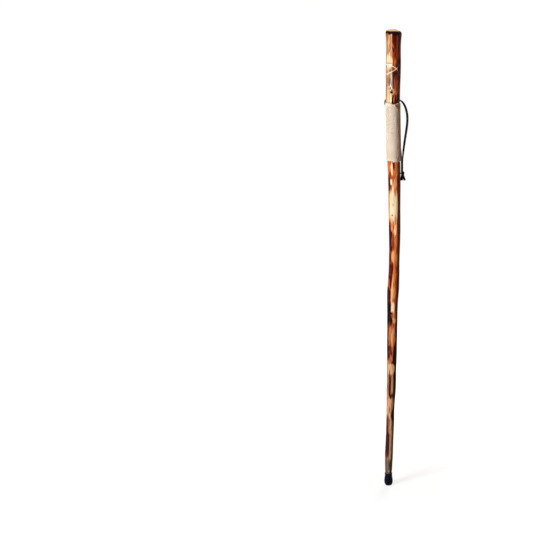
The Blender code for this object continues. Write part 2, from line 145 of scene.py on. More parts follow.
# Where the side away from the lamp turns dark, partly the wood's own darker colour and partly painted shade:
# height in millimetres, azimuth in degrees and tone
DARK_EDGE = (
    (38, 12, 0.76), (50, 6, 0.76), (60, 8, 0.76), (80, 20, 0.76), (100, 29, 0.70), (140, 29, 0.70),
    (160, 33, 0.70), (180, 33, 0.70), (190, 28, 0.92), (198, 14, 0.92), (203, 6, 0.92), (208, 2, 0.92),
    (213, 4, 0.92), (220, 12, 0.92), (226, 26, 0.92), (230, 38, 0.74), (240, 40, 0.74), (250, 38, 0.74),
    (262, 28, 0.96), (270, 22, 0.97), (280, 22, 0.98), (300, 20, 0.98), (320, 18, 0.98), (330, 18, 0.97),
    (335, 26, 0.96), (340, 32, 0.96), (350, 38, 0.96), (355, 26, 0.96), (360, 12, 0.96), (370, 3, 0.98),
    (380, 1, 0.98), (400, 5, 0.98), (410, 16, 0.98), (420, 28, 0.97), (430, 34, 0.86), (440, 32, 0.86),
    (460, 30, 0.86), (475, 34, 0.86), (480, 40, 0.86), (498, 42, 0.86), (508, 34, 0.86), (520, 28, 0.86),
    (530, 26, 0.86), (540, 34, 0.76), (550, 36, 0.76), (560, 32, 0.76), (580, 29, 0.76), (600, 28, 0.76),
    (615, 33, 0.70), (630, 35, 0.70), (650, 36, 0.70), (670, 33, 0.70), (710, 33, 0.70), (730, 31, 0.70),
    (750, 34, 0.70), (770, 33, 0.67), (790, 33, 0.67), (810, 30, 0.67), (830, 30, 0.67), (850, 29, 0.67),
    (860, 31, 0.67), (880, 34, 0.67), (900, 37, 0.67), (922, 38, 0.67), (1080, 14, 0.80), (1098, 16, 0.80),
    (1104, 28, 0.70), (1110, 41, 0.70), (1135, 41, 0.70), (1146, 37, 0.70), (1165, 34, 0.80),
    (1174, 14, 0.86), (1182, 15, 0.86), (1192, 22, 0.80), (1202, 27, 0.62), (1210, 41, 0.62),
    (1245, 41, 0.62), (1262, 32, 0.62),
)
DARK_REACH = 118

# Tone and redness before any patch, each as its least and what is added to it, and the heights between
# which the wood reddens
GROUND_TONE = (0.36, 0.34)
GROUND_REDNESS = (0.5, 0.4)
REDDENING = (0.34, 0.42)

# Tones of single features. The turned foot inside the tip cover is bare wood.
GOLDEN_TONE = 0.42
EDGE_TONE = 0.55
FOOT_TONE = 0.22
CORE_TONE = 0.62
HALO_TONE = 0.10
EYE_TONE = 0.99
RIM_TONE = 0.93
RIM_REDNESS = 0.9
# The strap hole's wall is painted near black as painted shade
HOLE_SHADE_TONE = 0.97

# Noises round the stem: columns in one turn, rows a metre and seed. The swells start with their depth.
NOISE_ROWS = 257
SWELLS = ((0.00055, 5, 22, 1), (0.00042, 11, 34, 2), (0.00012, 26, 60, 3))
TONGUE_NOISE = (46, 16, 4)
WISP_NOISE = (110, 30, 5)
DRIFT_NOISE = (9, 14, 6)
RIM_NOISE = (30, 0, 7)
TOP_NOISE = (24, 900, 8)
KNOT_NOISE = (90, 1600, 10)

# Depth of the grain on the sawn top, and how far inside the surface a point still belongs to the skin
TOP_GRAIN = 0.00012
SKIN_DEPTH = 0.0009

# Where the scorched rim at the top starts: azimuth in degrees and height in millimetres
RIM_START = (
    (-180, 1262), (-90, 1263), (-60, 1264), (-40, 1263), (-33, 1261), (-14, 1262), (0, 1259), (40, 1261),
    (90, 1262), (180, 1262),
)

# Scraped and scorched patches on the show side: azimuth in degrees, height in millimetres, half the width
# in degrees, half the length in millimetres, lean in degrees a millimetre, tone from 0 pale to 1 black, and
# redness from 0 golden to 1 orange
PATCHES = (
    (12, 1189, 7, 12, 0.3, 0.44, 1.0),
    (-5, 1191, 6, 14, 0, 0.54, 1.0),
    (24, 1194, 6, 6, 0, 0.62, 1.0),
    (10, 1174, 10, 6, 0, 0.60, 1.0),
    (8, 1223, 16, 7, 0, 0.74, 1.0),
    (20, 1214, 12, 12, 0, 0.62, 1.0),
    (8, 1252, 18, 13, 0, 0.84, 1.0),
    (-11, 1250, 4, 16, 0, 0.58, 1.0),
    (-7, 1233, 5, 8, -0.9, 0.50, 1.0),
    (-8, 1213, 5, 9, -0.8, 0.52, 1.0),
    (32, 1225, 5, 30, 0, 0.60, 1.0),
    (24, 1240, 4, 22, 0, 0.66, 1.0),
    (-74, 1220, 12, 50, 0, 0.42, 0.25),
    (-58, 1232, 6, 30, 0.2, 0.44, 0.1),
    (-50, 1219, 4, 18, 0, 0.56, 0.2),
    (-46, 1252, 5, 11, 0, 0.58, 0.2),
    (-60, 1256, 8, 8, 0, 0.50, 0.2),
    (-42, 1225, 3.5, 28, 0, 0.24, 0.3),
    (-33, 1222, 5, 16, 0, 0.54, 0.0),
    (-34, 1250, 3.5, 16, 0, 0.18, 0.1),
    (-26, 1240, 4, 26, 0, 0.56, 0.8),
    (-38, 1189, 28, 22, 0, 0.06, 0.05),
    (-75, 1200, 8, 20, 0, 0.44, 0.3),
    (-45, 1185, 34, 2.5, 0, 0.34, 0.2),
    (-64, 1168, 8, 10, 0, 0.42, 0.2),
    (-34, 1166, 3.5, 5, 0, 0.56, 0.2),
    (-46, 1163, 4, 4, 0, 0.46, 0.1),
    (-23, 1166, 4, 4.5, 0, 0.84, 0.2),
    (-57, 1264, 22, 5, 0, 0.66, 0.5),
    (-17, 1137, 11, 25, 0, 0.44, 0.0),
    (-31, 1136, 5, 12, 0, 0.62, 0.6),
    (2, 1133, 3, 9, 0.2, 0.76, 1.0),
    (14, 1122, 3, 9, 0.2, 0.74, 1.0),
    (12, 1135, 3, 12, 0, 0.56, 1.0),
    (29, 1124, 8, 16, 0, 0.60, 1.0),
    (22, 1146, 3, 12, 0, 0.66, 1.0),
    (-44, 1138, 13, 10, 0, 0.52, 0.4),
    (-51, 1137, 3, 9, 0, 0.66, 0.4),
    (-62, 1125, 20, 3.5, 0, 0.58, 0.6),
    (-74, 1110, 8, 12, 0, 0.58, 0.3),
    (-63, 1093, 5, 4, 0, 0.54, 0.4),
    (-38, 1098, 16, 20, 0, 0.18, 0.1),
    (-16, 1096, 6, 14, 0, 0.02, 0.1),
    (8, 1091, 6, 12, 0.15, 0.46, 1.0),
    (16, 1110, 6, 8, 0, 0.40, 0.7),
    (-70, 905, 14, 20, 0, 0.40, 0.9),
    (-46, 906, 17, 19, 0, 0.50, 1.0),
    (-40, 889, 12, 7, 0, 0.64, 1.0),
    (-20, 905, 8, 19, 0, 0.04, 0.3),
    (2, 912, 9, 10, 0, 0.72, 1.0),
    (0, 895, 10, 7, 0, 0.46, 0.9),
    (20, 900, 13, 26, 0, 0.36, 0.85),
    (-20, 881, 28, 4, 0, 0.56, 1.0),
    (-28, 868, 10, 9, 0, 0.00, 0.2),
    (-11, 867, 8, 8, 0, 0.64, 0.9),
    (12, 866, 15, 18, 0, 0.28, 0.9),
    (-20, 805, 52, 49, 0, 0.06, 0.2),
    # Partly painted shade: this patch's tone at the left edge is set darker for the shade there
    (-70, 810, 22, 46, 0, 0.42, 0.2),
    (-57, 861, 16, 19, 0, 0.88, 1.0),
    (20, 806, 13, 48, 0, 0.00, 0.4),
    (-18, 806, 12, 4, 0, 0.26, 0.1),
    (-8, 832, 3, 14, 0, 0.17, 0.2),
    (-20, 758, 10, 4, 0, 0.44, 0.3),
    (-56, 716, 36, 34, 0.1, 0.90, 1.0),
    (-18, 702, 16, 30, 0.1, 0.66, 1.0),
    (-30, 742, 12, 10, 0, 0.42, 1.0),
    (-11, 744, 6, 7, 0, 0.68, 0.9),
    (9, 737, 12, 18, 0, 0.06, 0.5),
    (13, 700, 16, 22, 0, 0.40, 1.0),
    (26, 732, 6, 20, 0, 0.50, 1.0),
    (-34, 684, 14, 6, 0, 0.86, 1.0),
    (-60, 658, 24, 16, 0, 0.80, 1.0),
    (-12, 662, 22, 15, 0, 0.24, 1.0),
    (20, 655, 15, 24, 0, 0.42, 0.8),
    (-46, 622, 42, 22, 0, 0.78, 1.0),
    (-40, 635, 12, 5, 0, 0.90, 0.9),
    (-16, 619, 8, 8, 0, 0.88, 0.9),
    (-44, 604, 40, 6, 0, 0.86, 0.8),
    (6, 612, 17, 28, 0, 0.44, 1.0),
    (-76, 588, 16, 8, 0, 0.56, 0.8),
    (-78, 574, 12, 8, 0, 0.46, 0.8),
    (-32, 590, 10, 18, 0, 0.92, 0.6),
    (-56, 556, 38, 20, 0, 0.88, 1.0),
    (-10, 562, 12, 25, 0, 0.18, 0.9),
    (16, 562, 14, 22, 0, 0.36, 0.7),
    (-58, 520, 42, 21, 0, 0.96, 0.4),
    (4, 520, 20, 18, 0, 0.04, 0.4),
    (-22, 503, 34, 2.5, 0, 0.92, 0.6),
    (-48, 484, 50, 20, 0, 0.98, 0.3),
    (0, 497, 14, 4.5, 0, 0.58, 0.7),
    (28, 482, 26, 7, 0, 0.22, 0.6),
    (8, 488, 10, 3, 0, 0.16, 0.5),
    (44, 516, 12, 9, 0, 0.97, 0.5),
    (-62, 438, 38, 28, 0, 0.74, 0.9),
    (-26, 438, 17, 27, 0, 0.53, 0.6),
    (-2, 434, 10, 27, 0, 0.26, 0.8),
    (14, 448, 11, 17, 0, 0.34, 0.3),
    (-46, 404, 38, 5, 0, 0.93, 0.8),
    (-62, 386, 34, 18, 0, 0.90, 0.7),
    (-20, 388, 22, 16, 0, 0.76, 1.0),
    (-10, 376, 12, 8, 0, 0.52, 0.8),
    (-68, 364, 26, 6, 0, 0.44, 0.3),
    (-24, 367, 22, 6, 0, 0.58, 0.8),
    (14, 364, 16, 6, 0, 0.84, 0.9),
    # Partly painted shade: down to 240 millimetres, the tones of patches reaching the left edge are set
    # darker for the shade there
    (-40, 344, 66, 16, 0, 0.24, 0.55),
    (-64, 344, 26, 17, 0, 0.42, 0.4),
    (4, 344, 14, 16, 0, 0.30, 0.6),
    (17, 344, 9, 13, 0, 0.18, 0.3),
    (32, 344, 10, 10, 0, 0.30, 0.3),
    (-64, 305, 26, 22, 0, 0.46, 0.6),
    (-50, 291, 9, 8, 0, 0.64, 0.9),
    (-27, 294, 7, 34, 0, 0.60, 1.0),
    (-17, 294, 12, 33, 0, 0.93, 1.0),
    (7, 294, 11, 32, 0, 0.40, 0.6),
    (-62, 268, 24, 12, 0, 0.42, 0.6),
    (15, 267, 19, 6, 0, 0.76, 1.0),
    (-6, 263, 10, 6, 0, 0.88, 1.0),
    (-36, 240, 64, 19, 0, 0.33, 0.6),
    (-64, 240, 20, 17, 0, 0.42, 0.5),
    (20, 243, 18, 15, 0, 0.46, 0.3),
    (-12, 228, 10, 5, 0, 0.58, 0.6),
    (-70, 213, 22, 3.5, 0, 0.20, 0.3),
    (-40, 216, 26, 8, 0, 0.36, 0.7),
    (-10, 206, 12, 10, 0, 0.26, 0.6),
    (-68, 184, 24, 24, 0, 0.62, 0.6),
    (-38, 182, 19, 24, 0, 0.70, 0.8),
    (-15, 178, 10, 22, 0, 0.57, 0.8),
    (2, 182, 10, 24, 0.15, 0.28, 0.6),
    (14, 180, 8, 22, 0, 0.38, 0.2),
    (24, 178, 8, 24, 0, 0.60, 0.2),
    (-40, 118, 46, 48, 0, 0.86, 0.8),
    (-14, 116, 8, 36, 0, 0.78, 0.8),
    (9, 118, 12, 48, 0, 0.40, 0.3),
    (24, 118, 8, 46, 0, 0.46, 0.3),
    (-32, 56, 74, 30, 0, 0.66, 0.1),
    (14, 44, 18, 4, 0, 0.38, 0.3),
    (22, 60, 16, 14, 0, 0.84, 0.2),
)
# Weathered grey patches: the same terms as far as the lean, then the share of grey
GREY_PATCHES = (
    (-55, 1140, 60, 80, 0, 0.28),
    (-52, 1222, 40, 36, 0, 0.22),
    (-17, 1137, 11, 25, 0, 0.95),
    (-20, 806, 54, 52, 0, 0.26),
    (-20, 262, 120, 112, 0, 0.36),
    (-32, 56, 90, 34, 0, 0.85),
    (14, 112, 28, 56, 0, 0.5),
    (50, 120, 26, 90, 0, 0.7),
    (16, 450, 13, 18, 0, 0.5),
)
PATCH_ROUNDNESS = 1.8
BACK_PATCHES = 60
BACK_TONES = (0.08, 0.15, 0.3, 0.42, 0.5, 0.6, 0.8, 0.92)
BACK_SEED = 11

# Grip cord
CORD_TURNS = 55
CORD_SECTION_POINTS = 10
TWISTS_PER_TURN = 17
PLY_RADIUS = 0.7
PLY_OFFSET = 0.3
CORD_END_AZIMUTH = math.radians(-8)

# How far the cord strays along the grip and away from it, and between which shares of its radius a point
# counts as lying in the hollow of its strands, where the material paints shade
CORD_WANDER = 0.00008
CORD_LIFT = 0.00012
HOLLOW_REACH = (0.62, 0.92)

# The cord is tinted browner towards the side where the strap hangs, between these two places across the
# grip: painted shade of its side away from the key lamp
PAINTED_SHADE_SIDE = (0.0133, 0.0300)
PAINTED_SHADE_TINT = (0.97, 0.84, 0.75)

# Lace route: metres from the middle of the strap hole, and the direction of the lace's width seen from
# above, in degrees from +X
FRONT_ROUTE = (
    (0.0001, -0.0001, 0.0000, 49),
    (0.0083, -0.0072, 0.0000, 49),
    (0.0158, -0.0137, -0.0001, 48),
    (0.0225, -0.0196, -0.0028, 44),
    (0.0272, -0.0237, -0.0076, 38),
    (0.0308, -0.0266, -0.0135, 29),
    (0.0343, -0.0295, -0.0228, 18),
    (0.0371, -0.0308, -0.0365, 6),
    (0.0378, -0.0294, -0.0500, -1),
    (0.0370, -0.0260, -0.0640, -6),
    (0.0352, -0.0205, -0.0800, -13),
    (0.0322, -0.0122, -0.1025, -26),
    (0.0293, -0.0035, -0.1260, -42),
    (0.0276, 0.0033, -0.1420, -55),
    (0.0267, 0.0060, -0.1530, -63),
    (0.0258, 0.0078, -0.1640, -69),
    (0.0256, 0.0084, -0.1790, -70),
    (0.0256, 0.0084, -0.1960, -70),
    (0.0252, 0.0083, -0.2005, -70),
)
REAR_ROUTE = (
    (-0.0001, 0.0001, 0.0000, 49),
    (-0.0083, 0.0072, 0.0000, 49),
    (-0.0146, 0.0126, -0.0012, 49),
    (-0.0180, 0.0156, -0.0040, 49),
    (-0.0198, 0.0175, -0.0081, 47),
    (-0.0200, 0.0187, -0.0129, 44),
    (-0.0190, 0.0196, -0.0178, 41),
    (-0.0166, 0.0206, -0.0238, 37),
    (-0.0125, 0.0218, -0.0330, 29),
    (-0.0075, 0.0231, -0.0467, 18),
    (-0.0015, 0.0240, -0.0640, 5),
    (0.0048, 0.0240, -0.0830, -9),
    (0.0105, 0.0222, -0.1010, -23),
    (0.0155, 0.0190, -0.1180, -37),
    (0.0192, 0.0150, -0.1340, -50),
    (0.0213, 0.0112, -0.1490, -61),
    (0.0224, 0.0082, -0.1620, -69),
    (0.0228, 0.0074, -0.1790, -70),
    (0.0228, 0.0074, -0.1960, -70),
    (0.0232, 0.0075, -0.2005, -70),
)

# The two lace ends below the knot, from places a little above their solids' upper ends
OUTER_TAIL_ROUTE = (
    (0.0012, 0.0004, 0.0032, -68),
    (0.0017, 0.0006, 0.0000, -58),
    (0.0026, 0.0009, -0.0050, -40),
    (0.0042, 0.0013, -0.0105, -20),
    (0.0060, 0.0018, -0.0155, -8),
)
INNER_TAIL_ROUTE = (
    (-0.0012, -0.0004, 0.0032, -70),
    (-0.0017, -0.0006, 0.0000, -60),
    (-0.0021, -0.0006, -0.0050, -42),
    (-0.0022, -0.0007, -0.0100, -24),
    (-0.0021, -0.0008, -0.0150, -12),
)
LACE_SIDES = 20
LACE_STEP = 0.0016
LACE_SQUARENESS = 5.0
KNOT_LOW, KNOT_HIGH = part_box("strap_knot")
KNOT_MIDDLE = (KNOT_LOW + KNOT_HIGH) / 2
KNOT_TURN = math.radians(20)
KNOT_FULLNESS = 1.14
# The knot's core and the reach of its turns, as shares of its size, and the turns' share of the lace's
# thickness. Each turn has its tilt and its turn in degrees, its share of the lace's width and its swell.
KNOT_CORE = (0.78, 0.78, 0.98)
KNOT_REACH = 0.39
KNOT_THINNING = 0.85
KNOT_BANDS = ((24, 0, 0.85, 0.0006), (-38, 70, 0.72, -0.0006))
KNOT_STEPS = 40

# How far above its solid a lace end starts
TAIL_RISE = 0.0012

# Tip cover: radius and height of the shallow rings in its sole, then the radii of sole and lip, the height
# of its widest place, the socket's floor, and the rounded bead at its lip
SOLE_RINGS = (
    (0, 0.0006), (0.0022, 0.0006), (0.0026, 0), (0.0040, 0), (0.0043, 0.0006), (0.0048, 0.0006), (0.0051, 0),
)
SOLE_RADIUS = 0.0068
LIP_RADIUS = 0.0101
WIDE_LEVEL = 0.0130
SOCKET_FLOOR = 0.0068
WAIST_CURVE = 1.25
BEAD_INSET = 0.0004
BEAD_SIZE = (0.0009, 0.0017)
LIP_CHAMFER = 0.0008

# Camera, from the photograph's own viewpoint
CAMERA_PLACE = (0.0, -4.5, 1.85)
CAMERA_YAW = math.radians(-4.191)
CAMERA_PITCH = math.radians(-15.105)
CAMERA_ROLL = math.radians(-1.150)
CAMERA_LENS = 116.30

# The floor's own white is a little weaker round the foot, so that the stick's shadow shows there
FLOOR_GLOW = (0.70, 0.98)
FLOOR_FADE = 0.9
FLOOR_SEEN, FLOOR_BOUNCE = 0.35, 0.60
FLOOR_SIZE = 40
AMBIENT_COLOUR = (1.0, 0.66, 0.46)
WHITE = (255, 255, 255)

# Lamps: name, width and height, the direction in degrees from the front towards the right with the distance
# and height, the height aimed at, the setting with the power, the colour, and the rays it is hidden from
LAMPS = (
    ("key_lamp", (0.5, 1.7), (-47, 1.5, 0.80), 0.66, "key_power", WHITE, "glossy"),
    ("strip_lamp", (0.19, 0.62), (-37.5, 1.2, 0.89), 0.89, "strip_power", (220, 238, 255), "diffuse"),
    ("edge_lamp", (0.05, 0.5), (69, 1.3, 0.95), 0.95, "edge_power", (255, 190, 160), "diffuse"),
    ("top_lamp", (0.7, 0.7), (0, 0.1, 2.5), 1.27, "top_power", WHITE, "glossy"),
    ("back_lamp", (0.5, 1.7), (165, 1.5, 0.80), 0.66, "back_power", WHITE, "glossy"),
)

# Materials: where most of a noise's values lie, then plain colours
NOISE_SPAN = (0.3, 0.7)
DUST_COLOUR = (0.20, 0.18, 0.16)
ZINC_COLOURS = (0.52, 0.53, 0.56), (0.66, 0.67, 0.69)


def srgb(red, green, blue):
    """Linear colour of an sRGB colour given from 0 to 255."""
    parts = [value / 255 for value in (red, green, blue)]
    return tuple(part / 12.92 if part <= 0.04045 else ((part + 0.055) / 1.055) ** 2.4 for part in parts)


def colour_setting(name, description, default):
    return FloatVectorProperty(
        name=name, description=description, subtype="COLOR", size=3, min=0, max=1, default=default)


def length_setting(name, description, least, most, default):
    return FloatProperty(
        name=name, description=description, subtype="DISTANCE", unit="LENGTH", min=least, max=most,
        default=default)


def power_setting(name, description, default):
    return FloatProperty(name=name, description=description, unit="POWER", min=0, default=default)


class WoodSettings(bpy.types.PropertyGroup):
    pale: colour_setting(
        "Scraped wood", "Colour where the bark layer is scraped right off", srgb(243, 218, 180))
    straw: colour_setting("Straw", "Colour of barely toasted wood", srgb(226, 184, 130))
    golden: colour_setting("Golden wood", "Colour of lightly toasted wood", srgb(200, 145, 76))
    chestnut: colour_setting("Chestnut", "Colour of well toasted wood", srgb(148, 94, 40))
    peach: colour_setting(
        "Peach", "Colour of the thinnest inner bark under the varnish", srgb(230, 168, 114))
    orange: colour_setting("Orange wood", "Colour of the inner bark under the varnish", srgb(214, 118, 56))
    rust: colour_setting("Rust", "Colour of toasted inner bark", srgb(170, 68, 26))
    red_brown: colour_setting("Scorched wood", "Colour of strongly toasted wood", srgb(98, 27, 14))
    bare: colour_setting(
        "Bare wood", "Colour of the wood that the carved line lays bare", srgb(255, 240, 216))
    burnt: colour_setting("Burnt wood", "Colour of charred wood", srgb(16, 6, 8))
    end_grain: colour_setting("End grain", "Colour of the sawn top", srgb(232, 190, 146))
    varnish_roughness: FloatProperty(
        name="Varnish roughness", description="Roughness of the clear varnish over the wood",
        min=0, max=1, default=0.06)
    groove_width: length_setting("Groove width", "Width of the carved line", 0.0005, 0.005, 0.0024)
    groove_depth: length_setting("Groove depth", "Depth of the carved line", 0, 0.002, 0.0007)


class CordSettings(bpy.types.PropertyGroup):
    turns: IntProperty(
        name="Turns", description="How often the cord goes round the grip",
        min=20, max=80, default=CORD_TURNS)
    light: colour_setting("Cord", "Colour of the cord's crowns", srgb(255, 244, 224))
    # Painted shade: the colour that the hollows between the strands are painted with
    dark: colour_setting("Cord shade", "Colour between the cord's strands", srgb(132, 82, 52))
    glued: colour_setting("Glued end", "Colour of the cord's end, soaked with glue", srgb(186, 134, 74))


class LeatherSettings(bpy.types.PropertyGroup):
    colour: colour_setting("Leather", "Colour of the lace", (0.002, 0.003, 0.005))
    # Painted highlight: pale bluish flecks painted into the lace's colour stand in for glints on its gloss
    glinting: colour_setting(
        "Glints", "Colour of the flecks where the lace's wax is scuffed", srgb(92, 106, 120))
    width: length_setting("Lace width", "Width of the flat lace", 0.002, 0.015, 0.0064)
    thickness: length_setting("Lace thickness", "Thickness of the flat lace", 0.001, 0.005, 0.0022)


class RubberSettings(bpy.types.PropertyGroup):
    colour: colour_setting("Rubber", "Colour of the tip cover", (0.002, 0.003, 0.008))
    dust: FloatProperty(
        name="Dust", description="How much pale dust lies on the rubber near the ground",
        subtype="FACTOR", min=0, max=1, default=0.02)


class StudioSettings(bpy.types.PropertyGroup):
    key_power: power_setting("Key lamp", "Power of the tall softbox at the front left", 33)
    strip_power: power_setting("Strip lamp", "Power of the tall strip that the varnish mirrors", 80)
    edge_power: power_setting("Edge lamp", "Power of the narrow lamp at the right", 5)
    top_power: power_setting("Top lamp", "Power of the soft lamp above the head", 12)
    back_power: power_setting("Back lamp", "Power of the softbox behind the stick", 20)
    ambient: FloatProperty(
        name="Ambient", description="Strength of the light from all sides", min=0, max=2, default=0.12)


def add_node(tree, kind, inputs=None, **settings):
    """A new node with its settings made and its inputs set or linked."""
    node = tree.nodes.new(kind)
    for name, value in settings.items():
        setattr(node, name, value)
    for name, value in (inputs or {}).items():
        if isinstance(value, bpy.types.NodeSocket):
            tree.links.new(value, node.inputs[name])
        else:
            node.inputs[name].default_value = value
    return node


def maths(tree, operation, first, second=0.0, clamp=False):
    node = add_node(tree, "ShaderNodeMath", {0: first, 1: second}, operation=operation, use_clamp=clamp)
    return node.outputs[0]


def noise(tree, place, scale, detail=4.0, roughness=0.5, distortion=0.0):
    inputs = {
        "Vector": place, "Scale": scale, "Detail": detail, "Roughness": roughness, "Distortion": distortion,
    }
    return add_node(tree, "ShaderNodeTexNoise", inputs).outputs["Fac"]


def stretched(tree, place, scale):
    return add_node(tree, "ShaderNodeMapping", {"Vector": place, "Scale": scale}).outputs[0]


def remap(tree, value, low, high, to_low=0.0, to_high=1.0, smooth=False):
    inputs = {"Value": value, "From Min": low, "From Max": high, "To Min": to_low, "To Max": to_high}
    kind = "SMOOTHSTEP" if smooth else "LINEAR"
    return add_node(tree, "ShaderNodeMapRange", inputs, interpolation_type=kind).outputs[0]


def swing(tree, texture, amount):
    """A noise as a change between minus and plus an amount."""
    return remap(tree, texture, *NOISE_SPAN, -amount, amount)


def mix_colours(tree, share, first, second, blend="MIX"):
    node = add_node(tree, "ShaderNodeMix", data_type="RGBA", blend_type=blend)
    for index, value in ((0, share), (6, first), (7, second)):
        if isinstance(value, bpy.types.NodeSocket):
            tree.links.new(value, node.inputs[index])
        elif index == 0:
            node.inputs[index].default_value = value
        else:
            node.inputs[index].default_value = (*value[:3], 1)
    return node.outputs[2]


def ramp(tree, value, stops):
    node = add_node(tree, "ShaderNodeValToRGB", {"Fac": value})
    places = node.color_ramp.elements
    while len(places) < len(stops):
        places.new(0.5)
    for element, (place, colour) in zip(places, stops):
        element.position = place
        element.color = (*colour[:3], 1)
    return node.outputs["Color"]


def attribute(tree, name, output="Fac"):
    return add_node(tree, "ShaderNodeAttribute", attribute_name=name).outputs[output]


def bump(tree, height, strength, distance):
    inputs = {"Height": height, "Strength": strength, "Distance": distance}
    return add_node(tree, "ShaderNodeBump", inputs).outputs["Normal"]


def new_material(name):
    """An empty Principled material: the material, its tree and its shader."""
    material = bpy.data.materials.new(name)
    material.use_nodes = True
    tree = material.node_tree
    return material, tree, tree.nodes["Principled BSDF"]


def object_place(tree):
    return add_node(tree, "ShaderNodeTexCoord").outputs["Object"]


def set_shader(tree, shader, **sockets):
    """Sets or links the shader's sockets, named with underscores for spaces."""
    for name, value in sockets.items():
        socket = shader.inputs[name.replace("_", " ")]
        if isinstance(value, bpy.types.NodeSocket):
            tree.links.new(value, socket)
        else:
            socket.default_value = value


def sawn_colour(tree, place, early_wood):
    """Colour of the sawn top, with its year rings and specks."""
    rings = add_node(tree, "ShaderNodeTexWave", {
        "Vector": stretched(tree, place, (1, 1, 0)), "Scale": 130, "Distortion": 2.2, "Detail": 3.0,
        "Detail Scale": 1.4,
    }, wave_type="RINGS", rings_direction="Z").outputs["Fac"]
    late_wood = [value * 0.62 for value in early_wood]
    top = mix_colours(tree, remap(tree, rings, 0.45, 0.9, 0.0, 0.55), early_wood, late_wood)
    specks = noise(tree, place, 900, 3.0, 0.7)
    return mix_colours(tree, remap(tree, specks, 0.6, 0.75, 0.0, 0.5), top, late_wood)


def wood_material(settings):
    material, tree, shader = new_material("varnished_wood")
    place = attribute(tree, "straight", "Vector")
    tone = attribute(tree, "tone")
    redness = attribute(tree, "redness")
    carved = attribute(tree, "carved")
    sawn = attribute(tree, "sawn")
    grey = attribute(tree, "grey")
    wander = noise(tree, stretched(tree, place, (90, 90, 16)), 1.0, 2.0)
    streak = noise(tree, stretched(tree, place, (420, 420, 14)), 1.0, 5.0, 0.6, 0.9)
    flame = noise(tree, stretched(tree, place, (210, 210, 34)), 1.0, 3.0, 0.55, 1.6)
    fibre = noise(tree, stretched(tree, place, (1800, 1800, 45)), 1.0, 3.0, 0.6)
    shift = swing(tree, streak, 0.09)
    for texture, amount in ((flame, 0.08), (fibre, 0.035), (wander, 0.03)):
        shift = maths(tree, "ADD", shift, swing(tree, texture, amount))
    lively = maths(
        tree, "MULTIPLY", remap(tree, tone, 0.05, 0.4, 0.6, 1.15), remap(tree, tone, 0.45, 0.9, 1.0, 0.45))
    toned = maths(tree, "ADD", tone, maths(tree, "MULTIPLY", shift, lively))
    bared = maths(tree, "MULTIPLY", toned, remap(tree, carved, 0.0, 1.0, 1.0, 0.45), True)
    scorched = [value * 0.45 for value in settings.red_brown]
    golden = ramp(tree, bared, (
        (0.00, settings.pale),
        (0.18, settings.straw),
        (0.38, settings.golden),
        (0.58, settings.chestnut),
        (0.82, scorched),
        (0.96, settings.burnt),
    ))
    orange = ramp(tree, bared, (
        (0.00, settings.pale),
        (0.18, settings.peach),
        (0.38, settings.orange),
        (0.57, settings.rust),
        (0.74, settings.red_brown),
        (0.86, scorched),
        (0.96, settings.burnt),
    ))
    redness = maths(tree, "ADD", redness, swing(tree, wander, 0.15), True)
    skin = mix_colours(tree, redness, golden, orange)
    plain = add_node(tree, "ShaderNodeRGBToBW", {"Color": skin}).outputs[0]
    dull = mix_colours(tree, 1.0, (1.12, 1.0, 0.74), plain, "MULTIPLY")
    weathered = mix_colours(tree, grey, skin, dull)
    weathered = mix_colours(tree, maths(tree, "MULTIPLY", carved, 0.8), weathered, settings.bare)
    colour = mix_colours(tree, sawn, weathered, sawn_colour(tree, place, settings.end_grain))
    height = maths(tree, "ADD", maths(tree, "MULTIPLY", streak, 0.7), maths(tree, "MULTIPLY", fibre, 0.3))
    varnish = noise(tree, stretched(tree, place, (260, 260, 60)), 1.0, 3.0, 0.6)
    set_shader(
        tree, shader,
        Base_Color=colour,
        Roughness=remap(tree, streak, *NOISE_SPAN, 0.5, 0.65),
        Specular_IOR_Level=0.0,
        Normal=bump(tree, height, 0.25, 0.0006),
        Coat_Weight=0.42,
        Coat_Roughness=settings.varnish_roughness,
        Coat_IOR=1.2,
        Coat_Normal=bump(tree, varnish, 0.15, 0.0010),
    )
    return material


def cord_material(name, light, dark):
    material, tree, shader = new_material(name)
    along = add_node(tree, "ShaderNodeUVMap", uv_map="lay").outputs[0]
    place = object_place(tree)
    hollow = attribute(tree, "hollow")
    fibre = noise(tree, stretched(tree, along, (2600, 190, 1)), 1.0, 4.0, 0.65)
    fuzz = noise(tree, place, 2400, 3.0, 0.7)
    blotch = noise(tree, place, 55, 3.0)
    # Painted shade: the hollow between the strands takes the shade colour, varied by fibre and blotch noise
    shade = maths(tree, "ADD", hollow, swing(tree, fibre, 0.22))
    shade = maths(tree, "ADD", shade, remap(tree, blotch, *NOISE_SPAN, -0.07, 0.09), True)
    colour = mix_colours(tree, shade, light, dark)
    dull = [value * 0.7 for value in light]
    colour = mix_colours(tree, remap(tree, fuzz, 0.35, 0.7, 0.0, 0.25), colour, dull)
    across = add_node(tree, "ShaderNodeSeparateXYZ", {0: place}).outputs["X"]
    # Painted shade: the cord's colour is multiplied browner towards +X, its side away from the key lamp
    painted_shade = remap(tree, across, *PAINTED_SHADE_SIDE, 0.0, 1.0, True)
    colour = mix_colours(tree, painted_shade, colour, PAINTED_SHADE_TINT, "MULTIPLY")
    height = maths(tree, "ADD", maths(tree, "MULTIPLY", fibre, 0.8), maths(tree, "MULTIPLY", fuzz, 0.3))
    set_shader(
        tree, shader,
        Base_Color=colour,
        Roughness=0.88,
        Specular_IOR_Level=0.08,
        Sheen_Weight=0.06,
        Sheen_Roughness=0.5,
        Sheen_Tint=(1.0, 0.74, 0.52, 1),
        Normal=bump(tree, height, 0.7, 0.0004),
    )
    return material


